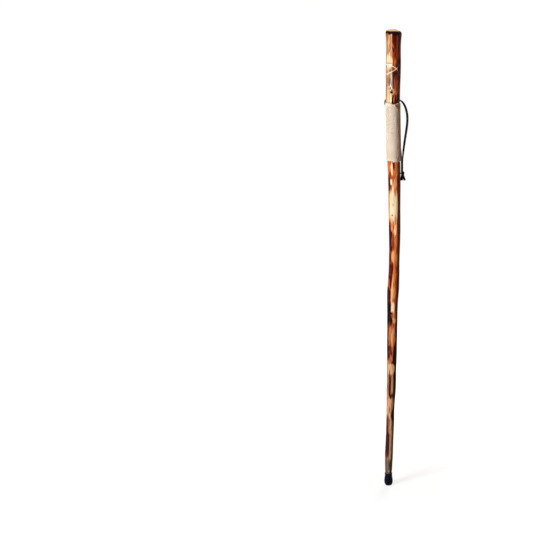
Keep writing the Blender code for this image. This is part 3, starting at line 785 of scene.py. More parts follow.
def leather_material(settings):
    material, tree, shader = new_material("black_leather")
    place = object_place(tree)
    pebble = add_node(
        tree, "ShaderNodeTexVoronoi", {"Vector": place, "Scale": 1500.0}, feature="SMOOTH_F1",
    ).outputs["Distance"]
    crease = noise(tree, stretched(tree, place, (700, 700, 260)), 1.0, 4.0, 0.6, 0.6)
    wear = noise(tree, place, 130, 4.0, 0.65)
    flecks = noise(tree, stretched(tree, place, (1500, 1500, 620)), 1.0, 3.0, 0.7)
    # Painted highlight: the flecks take the pale colour where both noises peak, as painted glints
    painted_glints = maths(tree, "MULTIPLY", remap(tree, wear, 0.48, 0.60), remap(tree, flecks, 0.54, 0.66))
    colour = mix_colours(tree, painted_glints, settings.colour, settings.glinting)
    height = maths(tree, "ADD", pebble, maths(tree, "MULTIPLY", crease, 0.8))
    set_shader(
        tree, shader,
        Base_Color=colour,
        Roughness=remap(tree, wear, 0.35, 0.7, 0.15, 0.32),
        Specular_IOR_Level=0.08,
        Normal=bump(tree, height, 0.35, 0.00035),
    )
    return material


def rubber_material(settings):
    material, tree, shader = new_material("black_rubber")
    place = object_place(tree)
    grain = noise(tree, place, 1800, 4.0, 0.6)
    patch = noise(tree, place, 160, 4.0, 0.6)
    level = add_node(tree, "ShaderNodeSeparateXYZ", {0: place}).outputs["Z"]
    near_ground = remap(tree, level, 0.012, 0.0, 0.0, 1.0, True)
    dusty = maths(tree, "MULTIPLY", near_ground, remap(tree, patch, 0.4, 0.65, 0.2, 1.0))
    dusty = maths(tree, "MULTIPLY", dusty, settings.dust)
    colour = mix_colours(tree, dusty, settings.colour, DUST_COLOUR)
    set_shader(
        tree, shader,
        Base_Color=colour,
        Roughness=remap(tree, patch, *NOISE_SPAN, 0.36, 0.5),
        Specular_IOR_Level=0.04,
        Normal=bump(tree, grain, 0.3, 0.0003),
    )
    return material


def steel_material():
    material, tree, shader = new_material("zinc_plated_steel")
    place = object_place(tree)
    spangle = add_node(tree, "ShaderNodeTexVoronoi", {"Vector": place, "Scale": 420.0}).outputs["Color"]
    scratch = noise(tree, stretched(tree, place, (2600, 180, 600)), 1.0, 3.0)
    tint = add_node(tree, "ShaderNodeSeparateXYZ", {0: spangle}).outputs["X"]
    colour = mix_colours(tree, tint, *ZINC_COLOURS)
    set_shader(
        tree, shader,
        Base_Color=colour,
        Metallic=1.0,
        Roughness=remap(tree, scratch, *NOISE_SPAN, 0.28, 0.42),
        Normal=bump(tree, scratch, 0.15, 0.0002),
    )
    return material


def add_piece(name, mesh, body, material, replaced=()):
    """A finished piece in the scene: its material, the body it moves with and the solids it stands for."""
    piece = bpy.data.objects.new(name, mesh)
    bpy.context.scene.collection.objects.link(piece)
    mesh.materials.clear()
    mesh.materials.append(material)
    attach(piece, body)
    if replaced:
        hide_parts(*replaced)
    return piece


def settle_order(shape):
    """Puts a bmesh's points, edges and faces in order of place, so that each run stores them alike."""
    for k, vertex in enumerate(sorted(shape.verts, key=lambda vertex: vertex.co[:])):
        vertex.index = k
    shape.verts.sort()
    for parts in (shape.edges, shape.faces):
        ranked = sorted(parts, key=lambda part: sorted(vertex.index for vertex in part.verts))
        for k, part in enumerate(ranked):
            part.index = k
        parts.sort()


def finish_mesh(shape, name, sharp_degrees=50):
    """Turns a bmesh into a mesh with its faces pointing out and its soft edges shaded round."""
    bmesh.ops.recalc_face_normals(shape, faces=shape.faces)
    mesh = bpy.data.meshes.new(name)
    shape.to_mesh(mesh)
    shape.free()
    mesh.shade_smooth()
    mesh.set_sharp_from_angle(angle=math.radians(sharp_degrees))
    return mesh


def spin_outline(outline, steps):
    """A bmesh turned round Z from an outline of radius and height that starts and ends on the axis."""
    shape = bmesh.new()
    corners = [shape.verts.new((radius, 0, height)) for radius, height in outline]
    edges = [shape.edges.new(pair) for pair in zip(corners, corners[1:])]
    bmesh.ops.spin(
        shape, geom=corners + edges, cent=(0, 0, 0), axis=(0, 0, 1), angle=2 * math.pi, steps=steps,
        use_merge=True)
    bmesh.ops.remove_doubles(shape, verts=shape.verts, dist=1e-7)
    settle_order(shape)
    return shape


def smoothstep(low, high, values):
    share = np.clip((values - low) / (high - low), 0, 1)
    return share * share * (3 - 2 * share)


def towards(values, target, share):
    """Values moved by a share of the way to a target."""
    return values + share * (target - values)


def smooth_route(route, spacing):
    """Points of even spacing along a Catmull-Rom curve through a route's own points."""
    route = np.array(route, float)
    ends = [2 * route[0] - route[1], *route, 2 * route[-1] - route[-2]]
    fine = []
    for a, b, c, d in zip(ends, ends[1:], ends[2:], ends[3:]):
        square = 2 * a - 5 * b + 4 * c - d
        cube = 3 * b - a - 3 * c + d
        for t in np.linspace(0, 1, 24, endpoint=False):
            fine.append(0.5 * (2 * b + (c - a) * t + square * t**2 + cube * t**3))
    fine = np.array(fine + [route[-1]])
    steps = np.linalg.norm(np.diff(fine[:, :3], axis=0), axis=1)
    along = np.concatenate([[0], np.cumsum(steps)])
    places = np.linspace(0, along[-1], max(2, round(along[-1] / spacing) + 1))
    return np.stack([np.interp(places, along, column) for column in fine.T], axis=1)


def read_stem_rings():
    """Height, sideways middle and radius of each level ring of the stem's solid."""
    vertices = frame["nodes"]["shaft"].data.vertices
    places = np.unique(np.round([vertex.co[:] for vertex in vertices], 6), axis=0)
    heights, counts = np.unique(np.round(places[:, 2], 5), return_counts=True)
    rows = []
    for height in heights[counts >= counts.max() / 2]:
        sideways = places[np.abs(places[:, 2] - height) < 2e-5, 0]
        rows.append((height, (sideways.max() + sideways.min()) / 2, (sideways.max() - sideways.min()) / 2))
    return np.array(rows)


STEM_RINGS = read_stem_rings()
STEM_WIDEST = STEM_RINGS[STEM_RINGS[:, 0] > STEM_TOP - 0.02][:, [2, 0]].tolist()
WIDEST_RADIUS, WIDEST_HEIGHT = max(STEM_WIDEST)
FACE_RADIUS = float(STEM_RINGS[-1, 2])


def smoothed_table(low, high):
    """Heights, middles and radii of one stretch of the stem, with the corners at its rings rounded off."""
    inside = STEM_RINGS[(STEM_RINGS[:, 0] > low - SEAM / 2) & (STEM_RINGS[:, 0] < high + SEAM / 2)]
    heights = np.arange(low - SMOOTHING_LENGTH, high + SMOOTHING_LENGTH, TABLE_STEP)
    weights = np.hanning(2 * round(SMOOTHING_LENGTH / TABLE_STEP / 2) + 1)
    weights /= weights.sum()
    padding = len(weights) // 2
    columns = (np.interp(heights, inside[:, 0], inside[:, k]) for k in (1, 2))
    middles, radii = (np.convolve(np.pad(column, padding, "edge"), weights, "valid") for column in columns)
    return heights, middles, radii


LOWER_TABLE = smoothed_table(COVER_TOP + SEAM, GRIP_LOW - SEAM)
CORE_TABLE = smoothed_table(GRIP_LOW, GRIP_HIGH)
CORE_RADIUS = float(CORE_TABLE[2].max())
HEAD_TABLE = smoothed_table(GRIP_HIGH + SEAM, WIDEST_HEIGHT)


def stem_column(heights, column):
    """Middle (column 1) or radius (column 2) of the stem at given heights."""
    heights = np.asarray(heights, float)
    values = np.interp(heights, LOWER_TABLE[0], LOWER_TABLE[column])
    for low, table in ((GRIP_LOW - SEAM / 2, CORE_TABLE), (GRIP_HIGH + SEAM / 2, HEAD_TABLE)):
        values = np.where(heights > low, np.interp(heights, table[0], table[column]), values)
    return values


def lattice_noise(across, along, columns, seed):
    """Smooth noise from 0 to 1 that closes on itself after so many columns across."""
    table = np.random.default_rng(seed).random((columns, NOISE_ROWS))
    left = np.floor(across).astype(int)
    low = np.floor(along).astype(int)
    share_across = smoothstep(0, 1, across - left)
    share_along = smoothstep(0, 1, along - low)
    sides = []
    for column in (left % columns, (left + 1) % columns):
        lower = table[column, low % NOISE_ROWS]
        upper = table[column, (low + 1) % NOISE_ROWS]
        sides.append(lower * (1 - share_along) + upper * share_along)
    return sides[0] * (1 - share_across) + sides[1] * share_across


def stem_noise(azimuth, along, columns, rows, seed):
    """Noise round the stem, with so many columns in one turn and so many rows a metre."""
    return lattice_noise(azimuth / (2 * math.pi) * columns, along * rows, columns, seed)


def carved_distance(azimuth, height):
    """Metres from the carved line, measured on the surface."""
    degrees = (np.degrees(azimuth) + 90) % 360 - 90
    nearest = np.full(azimuth.shape, 1.0)
    for line in (FIRST_ROUND, SECOND_ROUND):
        fine = smooth_route([(turn, rise / 1000, 0) for turn, rise in line], CARVED_STEP)
        level = CROSSING_HEIGHT + np.interp(degrees, fine[:, 0], fine[:, 1])
        slope = np.interp(degrees, fine[:, 0], np.gradient(fine[:, 1], fine[:, 0]))
        steepness = np.degrees(slope) / WIDEST_RADIUS
        nearest = np.minimum(nearest, np.abs(height - level) / np.hypot(1, steepness))
    return nearest


def knot_distance(azimuth, height, radius, knot):
    """How far a point on the stem is from a knot's middle, in radii of the knot's eye."""
    middle, level, size = knot
    across = (np.degrees(azimuth) - middle + 180) % 360 - 180
    return np.hypot(np.radians(across) * radius, (height - level) * 0.85) / size


def crack_share(azimuth, height, radius):
    """1 in the middle of the crack, falling to 0 at its sides and ends."""
    middles, levels = np.array(CRACK, float).T
    path = np.radians(np.interp(height * 1000, levels, middles))
    across = np.abs(azimuth - path) * radius
    inside = smoothstep(levels[0] - 1, levels[0] + 2, height * 1000)
    inside = inside * (1 - smoothstep(levels[-1] - 3, levels[-1] + 1, height * 1000))
    return (1 - smoothstep(0.0004, 0.0012, across)) * inside


def flat_relief(azimuth, height, radius):
    """How much the planed flat takes off the round stem, and how much of it covers each point."""
    degrees = np.degrees(azimuth)
    levels, left, right = np.array(FLAT_LIMITS, float).T
    inside = smoothstep(-1, 1, degrees - np.interp(height * 1000, levels, left))
    inside = inside * (1 - smoothstep(-1, 1, degrees - np.interp(height * 1000, levels, right)))
    inside = inside * smoothstep(levels[0], levels[0] + 3, height * 1000)
    inside = inside * (1 - smoothstep(levels[-1] - 3, levels[-1], height * 1000))
    turn = np.radians(np.minimum(np.abs(degrees - FLAT_AZIMUTH), FLAT_REACH))
    plane = radius * math.cos(math.radians(FLAT_REACH)) / np.cos(turn) - radius
    return plane * inside, inside


def far_side(azimuth, begin, full):
    """1 on the head's side away from the lamp, from one azimuth on, falling to 0 towards the back."""
    return smoothstep(begin, full, azimuth) * (1 - smoothstep(*LINE_BACK, azimuth))


def groove_reach(azimuth, height, settings):
    """Distance from the carved line, in half widths of its groove."""
    half_width = settings.groove_width / 2 * (1 - 0.45 * far_side(azimuth, *FINE_LINE))
    return carved_distance(azimuth, height) / half_width


def stem_relief(azimuth, height, radius, settings):
    """How far the surface stands out from the stem's even round form, in metres."""
    relief = np.zeros(azimuth.shape)
    for depth, *layer in SWELLS:
        relief += depth * (stem_noise(azimuth, height, *layer) - 0.5)
    flat, inside = flat_relief(azimuth, height, radius)
    relief = relief * (1 - 0.8 * inside) + flat
    rough = stem_noise(azimuth, height, *KNOT_NOISE) - 0.5
    for knot in KNOTS:
        reach = knot_distance(azimuth, height, radius, knot)
        size = knot[2]
        # The raised ring round the eye, the sunken eye and its rough bottom
        relief += size * (0.13 * np.exp(-((reach - 1.6) / 0.6) ** 2) - 0.34 * np.exp(-(reach / 0.8) ** 2))
        relief += size * 0.22 * rough * np.exp(-(reach / 0.9) ** 2)
    relief -= 0.0006 * crack_share(azimuth, height, radius)
    groove = 1 - smoothstep(0, 1.15, groove_reach(azimuth, height, settings))
    return relief - settings.groove_depth * groove


def stem_rows():
    """Heights of the stem's rows of points above the foot, closer together at carving and knots."""
    rows = [GRIP_LOW + share * (GRIP_HIGH - GRIP_LOW) for share in np.linspace(0.02, 0.98, 10)]
    low_carving = CROSSING_HEIGHT - 0.0225
    high_carving = CROSSING_HEIGHT + 0.0150
    stretches = [
        (COVER_TOP + SEAM + SHOULDER_CHAMFER, GRIP_LOW - SEAM, LOWER_ROW),
        (GRIP_HIGH + SEAM + SHOULDER_CHAMFER, low_carving, HEAD_ROW),
        (low_carving, high_carving, CARVED_ROW),
        (high_carving, WIDEST_HEIGHT, HEAD_ROW),
    ]
    stretches += [(level - 3 * size, level + 3 * size, KNOT_ROW) for _, level, size in KNOTS]
    for stretch in stretches:
        rows += list(np.arange(*stretch))
    rows = sorted(rows)
    kept = [rows[0]]
    for row in rows[1:]:
        if row - kept[-1] > CARVED_ROW * 0.7:
            kept.append(row)
    return kept


def stem_outline():
    """Radius and height of the stem's turned outline, from the foot's middle up to the top's middle."""
    foot_radius = float(STEM_RINGS[1, 2])
    low_radius, high_radius = stem_column([COVER_TOP + SEAM, GRIP_LOW - SEAM], 2)
    head_radius = float(np.interp(GRIP_HIGH + SEAM, HEAD_TABLE[0], HEAD_TABLE[2]))
    rows = [(float(stem_column(height, 2)), height) for height in stem_rows()]
    outline = [(0, FOOT_END)]
    outline += [(share * (foot_radius - FOOT_CHAMFER), FOOT_END) for share in (0.35, 0.7, 1)]
    outline += [(foot_radius, FOOT_END + FOOT_CHAMFER)]
    outline += [(foot_radius, FOOT_END + share * (COVER_TOP - FOOT_END)) for share in (0.3, 0.6, 0.9)]
    outline += [(foot_radius, COVER_TOP + SEAM), (low_radius - SHOULDER_CHAMFER, COVER_TOP + SEAM)]
    outline += [row for row in rows if row[1] < GRIP_LOW - SEAM]
    outline += [(high_radius - SHOULDER_CHAMFER, GRIP_LOW - SEAM), (CORE_RADIUS, GRIP_LOW - SEAM)]
    outline += [(CORE_RADIUS, height) for _, height in rows if GRIP_LOW < height < GRIP_HIGH]
    outline += [(CORE_RADIUS, GRIP_HIGH + SEAM), (head_radius - SHOULDER_CHAMFER, GRIP_HIGH + SEAM)]
    outline += [row for row in rows if GRIP_HIGH + SEAM < row[1] < WIDEST_HEIGHT]
    wide = float(stem_column(WIDEST_HEIGHT, 2))
    for angle in np.linspace(0, math.pi / 2, ROUNDING_ROWS):
        outline.append((
            FACE_RADIUS + (wide - FACE_RADIUS) * math.cos(angle),
            WIDEST_HEIGHT + (STEM_TOP - WIDEST_HEIGHT) * math.sin(angle),
        ))
    outline += [(FACE_RADIUS * share, STEM_TOP) for share in np.linspace(1, 0, FACE_ROWS)[1:]]
    return outline


def patch_share(degrees, level, row, tongues, wisps):
    """How much a patch covers each point, with flame-like ends along the grain."""
    middle, row_level, half_width, half_length, lean = row[:5]
    across = (degrees - middle - lean * (level - row_level) + 180) % 360 - 180
    across = np.abs(across / half_width)
    along = np.abs((level - row_level) / half_length * (1 + 0.9 * tongues + 0.5 * wisps))
    reach = (across**PATCH_ROUNDNESS + along**PATCH_ROUNDNESS) ** (1 / PATCH_ROUNDNESS)
    return 1 - smoothstep(0.86, 1.20, reach + 0.14 * tongues + 0.12 * wisps)


def edge_rows(rows, level):
    """Azimuth and tone of an edge at each height, from its rows of height, azimuth and tone."""
    levels, edges, tones = np.array(rows, float).T
    return np.interp(level, levels, edges), np.interp(level, levels, tones)


def back_patches():
    """Patches on the side that the photograph doesn't show, with the same terms as the others."""
    chance = np.random.default_rng(BACK_SEED)
    rows = []
    for _ in range(BACK_PATCHES):
        rows.append((
            chance.uniform(105, 255), chance.uniform(30, 1265), chance.uniform(10, 42),
            chance.uniform(12, 52), chance.uniform(-0.3, 0.3), chance.choice(BACK_TONES),
            chance.uniform(0.2, 1.0),
        ))
    return rows


def wood_fields(azimuth, height):
    """Tone of the wood's skin from 0 pale to 1 black, its redness from golden to orange, and its grey."""
    degrees = np.degrees(azimuth)
    level = height * 1000
    tongues = stem_noise(azimuth, height, *TONGUE_NOISE) - 0.5
    wisps = stem_noise(azimuth, height, *WISP_NOISE) - 0.5
    drift = stem_noise(azimuth, height, *DRIFT_NOISE)
    tone = GROUND_TONE[0] + GROUND_TONE[1] * drift
    redness = GROUND_REDNESS[0] + GROUND_REDNESS[1] * smoothstep(*REDDENING, height)
    red_begin, red_tone = edge_rows(RED_EDGE, level)
    past_edge = smoothstep(-1.5, 1.5, degrees - (red_begin + 3 * tongues + 3 * wisps))
    head = smoothstep(GRIP_LOW, GRIP_HIGH, height)
    golden = head * (1 - past_edge) * smoothstep(-130, -110, degrees - 40 * tongues)
    tone = towards(tone, GOLDEN_TONE + 0.14 * (drift - 0.5), golden)
    redness = towards(redness, 0, golden)
    red = head * past_edge * (degrees < DARK_REACH)
    tone = towards(tone, red_tone + 0.04 + 0.06 * (drift - 0.5), red)
    redness = towards(redness, 1, red)
    for row in (*back_patches(), *PATCHES):
        share = patch_share(degrees, level, row, tongues, wisps)
        tone = towards(tone, row[5], share)
        redness = towards(redness, row[6], share)
    # Partly painted shade: past the dark edge the tone darkens on the side away from the lamp, partly the
    # wood's own colour
    dark_begin, dark_tone = edge_rows(DARK_EDGE, level)
    past_begin = degrees - (dark_begin + 6 * tongues + 5 * wisps)
    front = 1 - smoothstep(-9, 9, degrees - DARK_REACH - 60 * tongues)
    edge = smoothstep(-3, 6, past_begin) * front
    tone = towards(tone, np.maximum(tone, EDGE_TONE), edge)
    redness = towards(redness, 1, edge)
    dark = smoothstep(4, 13, past_begin) * front
    tone = towards(tone, dark_tone + 0.06 * (drift - 0.5), dark)
    grey = np.zeros(tone.shape)
    for row in GREY_PATCHES:
        grey = towards(grey, row[5], patch_share(degrees, level, row, tongues, wisps))
    return tone, redness, grey


def knot_tones(tone, azimuth, height, radius):
    """The tone with each knot's dark eye, pale flecks painted in the eye as glints, and the pale halo round
    it.
    """
    rough = stem_noise(azimuth, height, *KNOT_NOISE)
    for knot in KNOTS:
        reach = knot_distance(azimuth, height, radius, knot)
        turn = np.radians((np.degrees(azimuth) - knot[0] + 180) % 360 - 180)
        side = 0.5 + 0.5 * np.tanh(turn * radius / knot[2])
        halo = np.exp(-((reach - 1.75) / 0.3) ** 2) * (0.25 + 0.75 * side)
        tone = towards(tone, HALO_TONE, 0.85 * halo)
        eye = 1 - smoothstep(0.85, 1.15, reach + 0.3 * (rough - 0.5))
        # Painted highlight: the eye's tone is lightened where the rough noise peaks, as glints
        tone = towards(tone, EYE_TONE - 0.7 * smoothstep(0.72, 0.9, rough), eye)
    return tone


def paint_stem(azimuth, height, radius, settings):
    """Fields that the wood's material reads: tone, redness, grey, carved and sawn."""
    tone, redness, grey = wood_fields(azimuth, height)
    under_cord = (height > GRIP_LOW - SEAM / 2) & (height < GRIP_HIGH + SEAM / 2)
    in_cover = height < COVER_TOP + SEAM / 2
    tone = np.where(in_cover, FOOT_TONE, np.where(under_cord, CORE_TONE, tone))
    redness = np.where(in_cover | under_cord, 0.0, redness)
    grey = np.where(in_cover, 0.0, grey)
    tone = knot_tones(tone, azimuth, height, radius)
    tone = towards(tone, 1, crack_share(azimuth, height, radius))
    start = np.interp(np.degrees(azimuth), *np.array(RIM_START, float).T) / 1000
    rim_noise = stem_noise(azimuth, height, *RIM_NOISE)
    rim = smoothstep(start - 0.0012 - 0.002 * rim_noise, start + 0.0008, height)
    tone = towards(tone, RIM_TONE, rim)
    redness = towards(redness, RIM_REDNESS, rim)
    rise = (height - WIDEST_HEIGHT) / (STEM_TOP - WIDEST_HEIGHT)
    sawn = smoothstep(0.84, 0.92, rise + 0.05 * rim_noise)
    carved = 1 - smoothstep(0.6, 1.05, groove_reach(azimuth, height, settings))
    carved = carved * (1 - 0.65 * far_side(azimuth, *FAINT_LINE))
    return {"tone": np.clip(tone, 0, 1), "redness": redness, "grey": grey, "carved": carved, "sawn": sawn}


def set_field(mesh, name, values):
    field = mesh.attributes.new(name, "FLOAT", "POINT")
    field.data.foreach_set("value", np.ascontiguousarray(values, np.float32))


def vertex_places(mesh):
    places = np.empty(len(mesh.vertices) * 3)
    mesh.vertices.foreach_get("co", places)
    return places.reshape(-1, 3)


def shape_stem(mesh, settings):
    """Moves the turned stem's points to the real, uneven and bent form, and stores the wood's fields."""
    x, y, height = vertex_places(mesh).T
    azimuth = np.arctan2(x, -y)
    radius = np.hypot(x, y)
    surface = stem_column(height, 2)
    outer = (radius > surface - SKIN_DEPTH) & (height > COVER_TOP + SEAM / 2)
    outer &= (height < GRIP_LOW) | (height > GRIP_HIGH)
    fade = smoothstep(STEM_TOP + 0.0002, WIDEST_HEIGHT, height)
    relief = np.where(outer, stem_relief(azimuth, height, surface, settings), 0) * fade
    fields = paint_stem(azimuth, height, surface, settings)
    side = smoothstep(0.1, 1.0, np.cos(azimuth - SHOULDER_AZIMUTH))
    climb = np.clip((height - STEM_TOP + SHOULDER_LENGTH) / SHOULDER_LENGTH, 0, 0.995)
    shoulder = SHOULDER_DEPTH * (1 - np.sqrt(1 - climb**2)) * side
    radius = radius * (1 - shoulder / WIDEST_RADIUS)
    bent_x = (radius + relief) * np.sin(azimuth)
    bent_y = -(radius + relief) * np.cos(azimuth)
    face = smoothstep(WIDEST_HEIGHT - 0.004, STEM_TOP, height)
    drop = TOP_DROP * smoothstep(0.002, 0.014, bent_x) * face
    on_top = height > STEM_TOP - 1e-5
    grain = TOP_GRAIN * (stem_noise(azimuth, radius, *TOP_NOISE) - 1) * on_top
    moved = np.stack([bent_x + stem_column(height, 1), bent_y, height - drop + grain], axis=1)
    mesh.vertices.foreach_set("co", moved.ravel())
    unbent = np.stack([bent_x, bent_y, height], axis=1).astype(np.float32)
    mesh.attributes.new("straight", "FLOAT_VECTOR", "POINT").data.foreach_set("vector", unbent.ravel())
    for name, values in fields.items():
        set_field(mesh, name, values)


def drill_stem(piece):
    """Cuts the strap hole and paints its wall near black, as painted shade inside the hole."""
    shape = bmesh.new()
    turn = HOLE_AXIS.to_track_quat("Z", "Y").to_matrix().to_4x4()
    bmesh.ops.create_cone(
        shape, cap_ends=True, segments=40, radius1=HOLE_RADIUS, radius2=HOLE_RADIUS, depth=4 * WIDEST_RADIUS,
        matrix=Matrix.Translation(HOLE_MIDDLE) @ turn)
    settle_order(shape)
    cutter = bpy.data.objects.new("hole_cutter", finish_mesh(shape, "hole_cutter"))
    bpy.context.scene.collection.objects.link(cutter)
    drill = piece.modifiers.new("strap_hole", "BOOLEAN")
    drill.operation = "DIFFERENCE"
    drill.object = cutter
    graph = bpy.context.evaluated_depsgraph_get()
    mesh = bpy.data.meshes.new_from_object(piece.evaluated_get(graph))
    piece.modifiers.clear()
    old = piece.data
    piece.data = mesh
    bpy.data.meshes.remove(old)
    bpy.data.objects.remove(cutter, do_unlink=True)
    # Painted shade: points on the hole's wall take a near black tone
    tones = mesh.attributes["tone"].data
    for vertex in mesh.vertices:
        away = vertex.co - HOLE_MIDDLE
        if abs(away.z) > 2 * HOLE_RADIUS:
            continue
        depth = away.dot(HOLE_AXIS)
        if (away - depth * HOLE_AXIS).length < HOLE_RADIUS * 1.01:
            tones[vertex.index].value = HOLE_SHADE_TONE
    mesh.set_sharp_from_angle(angle=math.radians(50))


class STICK_OT_stem(bpy.types.Operator):
    """Builds the varnished wooden stem with its carving, knots, sawn top and strap hole"""

    bl_idname = "walking_stick.build_stem"
    bl_label = "Build stem"

    def execute(self, context):
        settings = context.scene.stick_wood
        mesh = finish_mesh(spin_outline(stem_outline(), STEM_COLUMNS), "stem")
        shape_stem(mesh, settings)
        piece = add_piece("stem", mesh, "stick", wood_material(settings), ["shaft"])
        drill_stem(piece)
        return {"FINISHED"}


def cord_section(name, radius):
    """Cross section of a two-ply cord, as the outline of a curve's bevel that starts in a valley."""
    section = bpy.data.curves.new(name, "CURVE")
    section.dimensions = "2D"
    spline = section.splines.new("POLY")
    spline.points.add(CORD_SECTION_POINTS - 1)
    spline.use_cyclic_u = True
    for k, point in enumerate(spline.points):
        angle = math.pi / 2 - 2 * math.pi * k / CORD_SECTION_POINTS
        side = PLY_OFFSET * math.sin(angle)
        reach = radius * (PLY_OFFSET * abs(math.cos(angle)) + math.sqrt(PLY_RADIUS**2 - side**2))
        point.co = (reach * math.cos(angle), reach * math.sin(angle), 0, 1)
    return bpy.data.objects.new(name, section)


def twisted_cord(name, points, radius, step_turn, radii=None):
    """A mesh of two-ply cord along points, turned by one step of its lay from each point to the next."""
    section = cord_section(name + "_section", radius)
    bpy.context.scene.collection.objects.link(section)
    curve = bpy.data.curves.new(name, "CURVE")
    curve.dimensions = "3D"
    curve.twist_mode = "Z_UP"
    curve.bevel_mode = "OBJECT"
    curve.bevel_object = section
    curve.use_fill_caps = True
    spline = curve.splines.new("POLY")
    count = len(points)
    spline.points.add(count - 1)
    spline.points.foreach_set("co", np.hstack([points, np.ones((count, 1))]).astype(np.float32).ravel())
    spline.points.foreach_set("tilt", (np.arange(count) * step_turn).astype(np.float32))
    widths = np.ones(count) if radii is None else radii
    spline.points.foreach_set("radius", np.asarray(widths, np.float32))
    source = bpy.data.objects.new(name, curve)
    bpy.context.scene.collection.objects.link(source)
    bpy.context.view_layer.update()
    graph = bpy.context.evaluated_depsgraph_get()
    mesh = bpy.data.meshes.new_from_object(source.evaluated_get(graph))
    bpy.data.objects.remove(source, do_unlink=True)
    bpy.data.objects.remove(section, do_unlink=True)
    shape = bmesh.new()
    shape.from_mesh(mesh)
    bmesh.ops.remove_doubles(shape, verts=shape.verts, dist=1e-7)
    bpy.data.meshes.remove(mesh)
    mesh = finish_mesh(shape, name, 180)
    mark_lay(mesh, np.asarray(points), radius)
    return mesh


def mark_lay(mesh, points, radius):
    """Stores how deep each point lies between the strands, which the material paints as shade, and a map
    along and round the cord.
    """
    count = len(mesh.vertices)
    order = np.clip(np.arange(count) // CORD_SECTION_POINTS, 0, len(points) - 1)
    reach = np.linalg.norm(vertex_places(mesh) - points[order], axis=1)
    set_field(mesh, "hollow", 1 - smoothstep(*HOLLOW_REACH, reach / radius))
    steps = np.linalg.norm(np.diff(points, axis=0), axis=1)
    along = np.concatenate([[0], np.cumsum(steps)])[order]
    ring = np.arange(count) % CORD_SECTION_POINTS
    around = np.where(ring < CORD_SECTION_POINTS / 2, ring, CORD_SECTION_POINTS - ring) / CORD_SECTION_POINTS
    corners = np.empty(len(mesh.loops), np.int32)
    mesh.loops.foreach_get("vertex_index", corners)
    layer = mesh.uv_layers.new(name="lay")
    map_points = np.stack([around[corners] * 2 * math.pi * radius, along[corners]], axis=1)
    layer.data.foreach_set("uv", map_points.astype(np.float32).ravel())


def round_grip(azimuth, reach, height):
    """Places at given distances from the middle of the grip's core."""
    middle = np.interp(height, CORE_TABLE[0], CORE_TABLE[1])
    return np.stack([middle + reach * np.sin(azimuth), -reach * np.cos(azimuth), height], axis=1)


def winding_points(turns, radius):
    """Middle line of the wound cord, from the foot end of the grip up to its top edge."""
    count = turns * TWISTS_PER_TURN * CORD_SECTION_POINTS + 1
    share = np.arange(count) / (count - 1)
    azimuth = CORD_END_AZIMUTH - (1 - share) * turns * 2 * math.pi
    height = GRIP_LOW + radius + share * (GRIP_HIGH - GRIP_LOW - 2 * radius)
    height = height + CORD_WANDER * np.sin(azimuth * 0.37 + 1) * np.sin(share * 41)
    wraps = azimuth / (2 * math.pi)
    reach = CORE_RADIUS + radius + CORD_LIFT * lattice_noise(wraps * 3, share * 0, 97, 9)
    return round_grip(azimuth, reach, height)


def surface_cord(route, lift, spacing):
    """Points of a cord on the grip, from a route of azimuth in degrees, height and lift in millimetres."""
    fine = smooth_route([(row[0], row[1] / 1000, row[2] / 1000) for row in route], 1.0)
    return smooth_route(round_grip(np.radians(fine[:, 0]), lift + fine[:, 2], fine[:, 1]), spacing)


# Cord ends on the grip's top edge: azimuth in degrees, height in millimetres, lift in millimetres
CROSSING_STRANDS = (
    ((-66, 1073.2, -0.6), (-46, 1073.8, 0.1), (-24, 1072.8, 0.4), (-4, 1070.4, 0.4), (12, 1067.4, -0.4)),
    ((-62, 1075.8, -0.6), (-42, 1076.4, 0.2), (-20, 1075.4, 0.7), (0, 1073.0, 0.8), (18, 1069.6, 0.0)),
    (
        (-58, 1078.4, -0.6), (-40, 1078.8, 0.2), (-20, 1077.9, 0.9), (-2, 1075.6, 1.1), (12, 1072.6, 0.9),
        (22, 1070.0, 0.0),
    ),
    (
        (58, 1078.6, -0.6), (40, 1078.8, 0.3), (24, 1077.6, 1.3), (10, 1076.2, 2.0), (-6, 1076.0, 1.6),
        (-18, 1076.8, 0.4),
    ),
)
GLUED_END = ((6, 1077.0, 1.2), (14, 1075.6, 2.2), (22, 1072.4, 2.5), (29, 1069.0, 2.3), (35, 1065.8, 1.2))
GLUED_SWELL = (0.9, 1.3, 1.5, 1.6, 1.5)


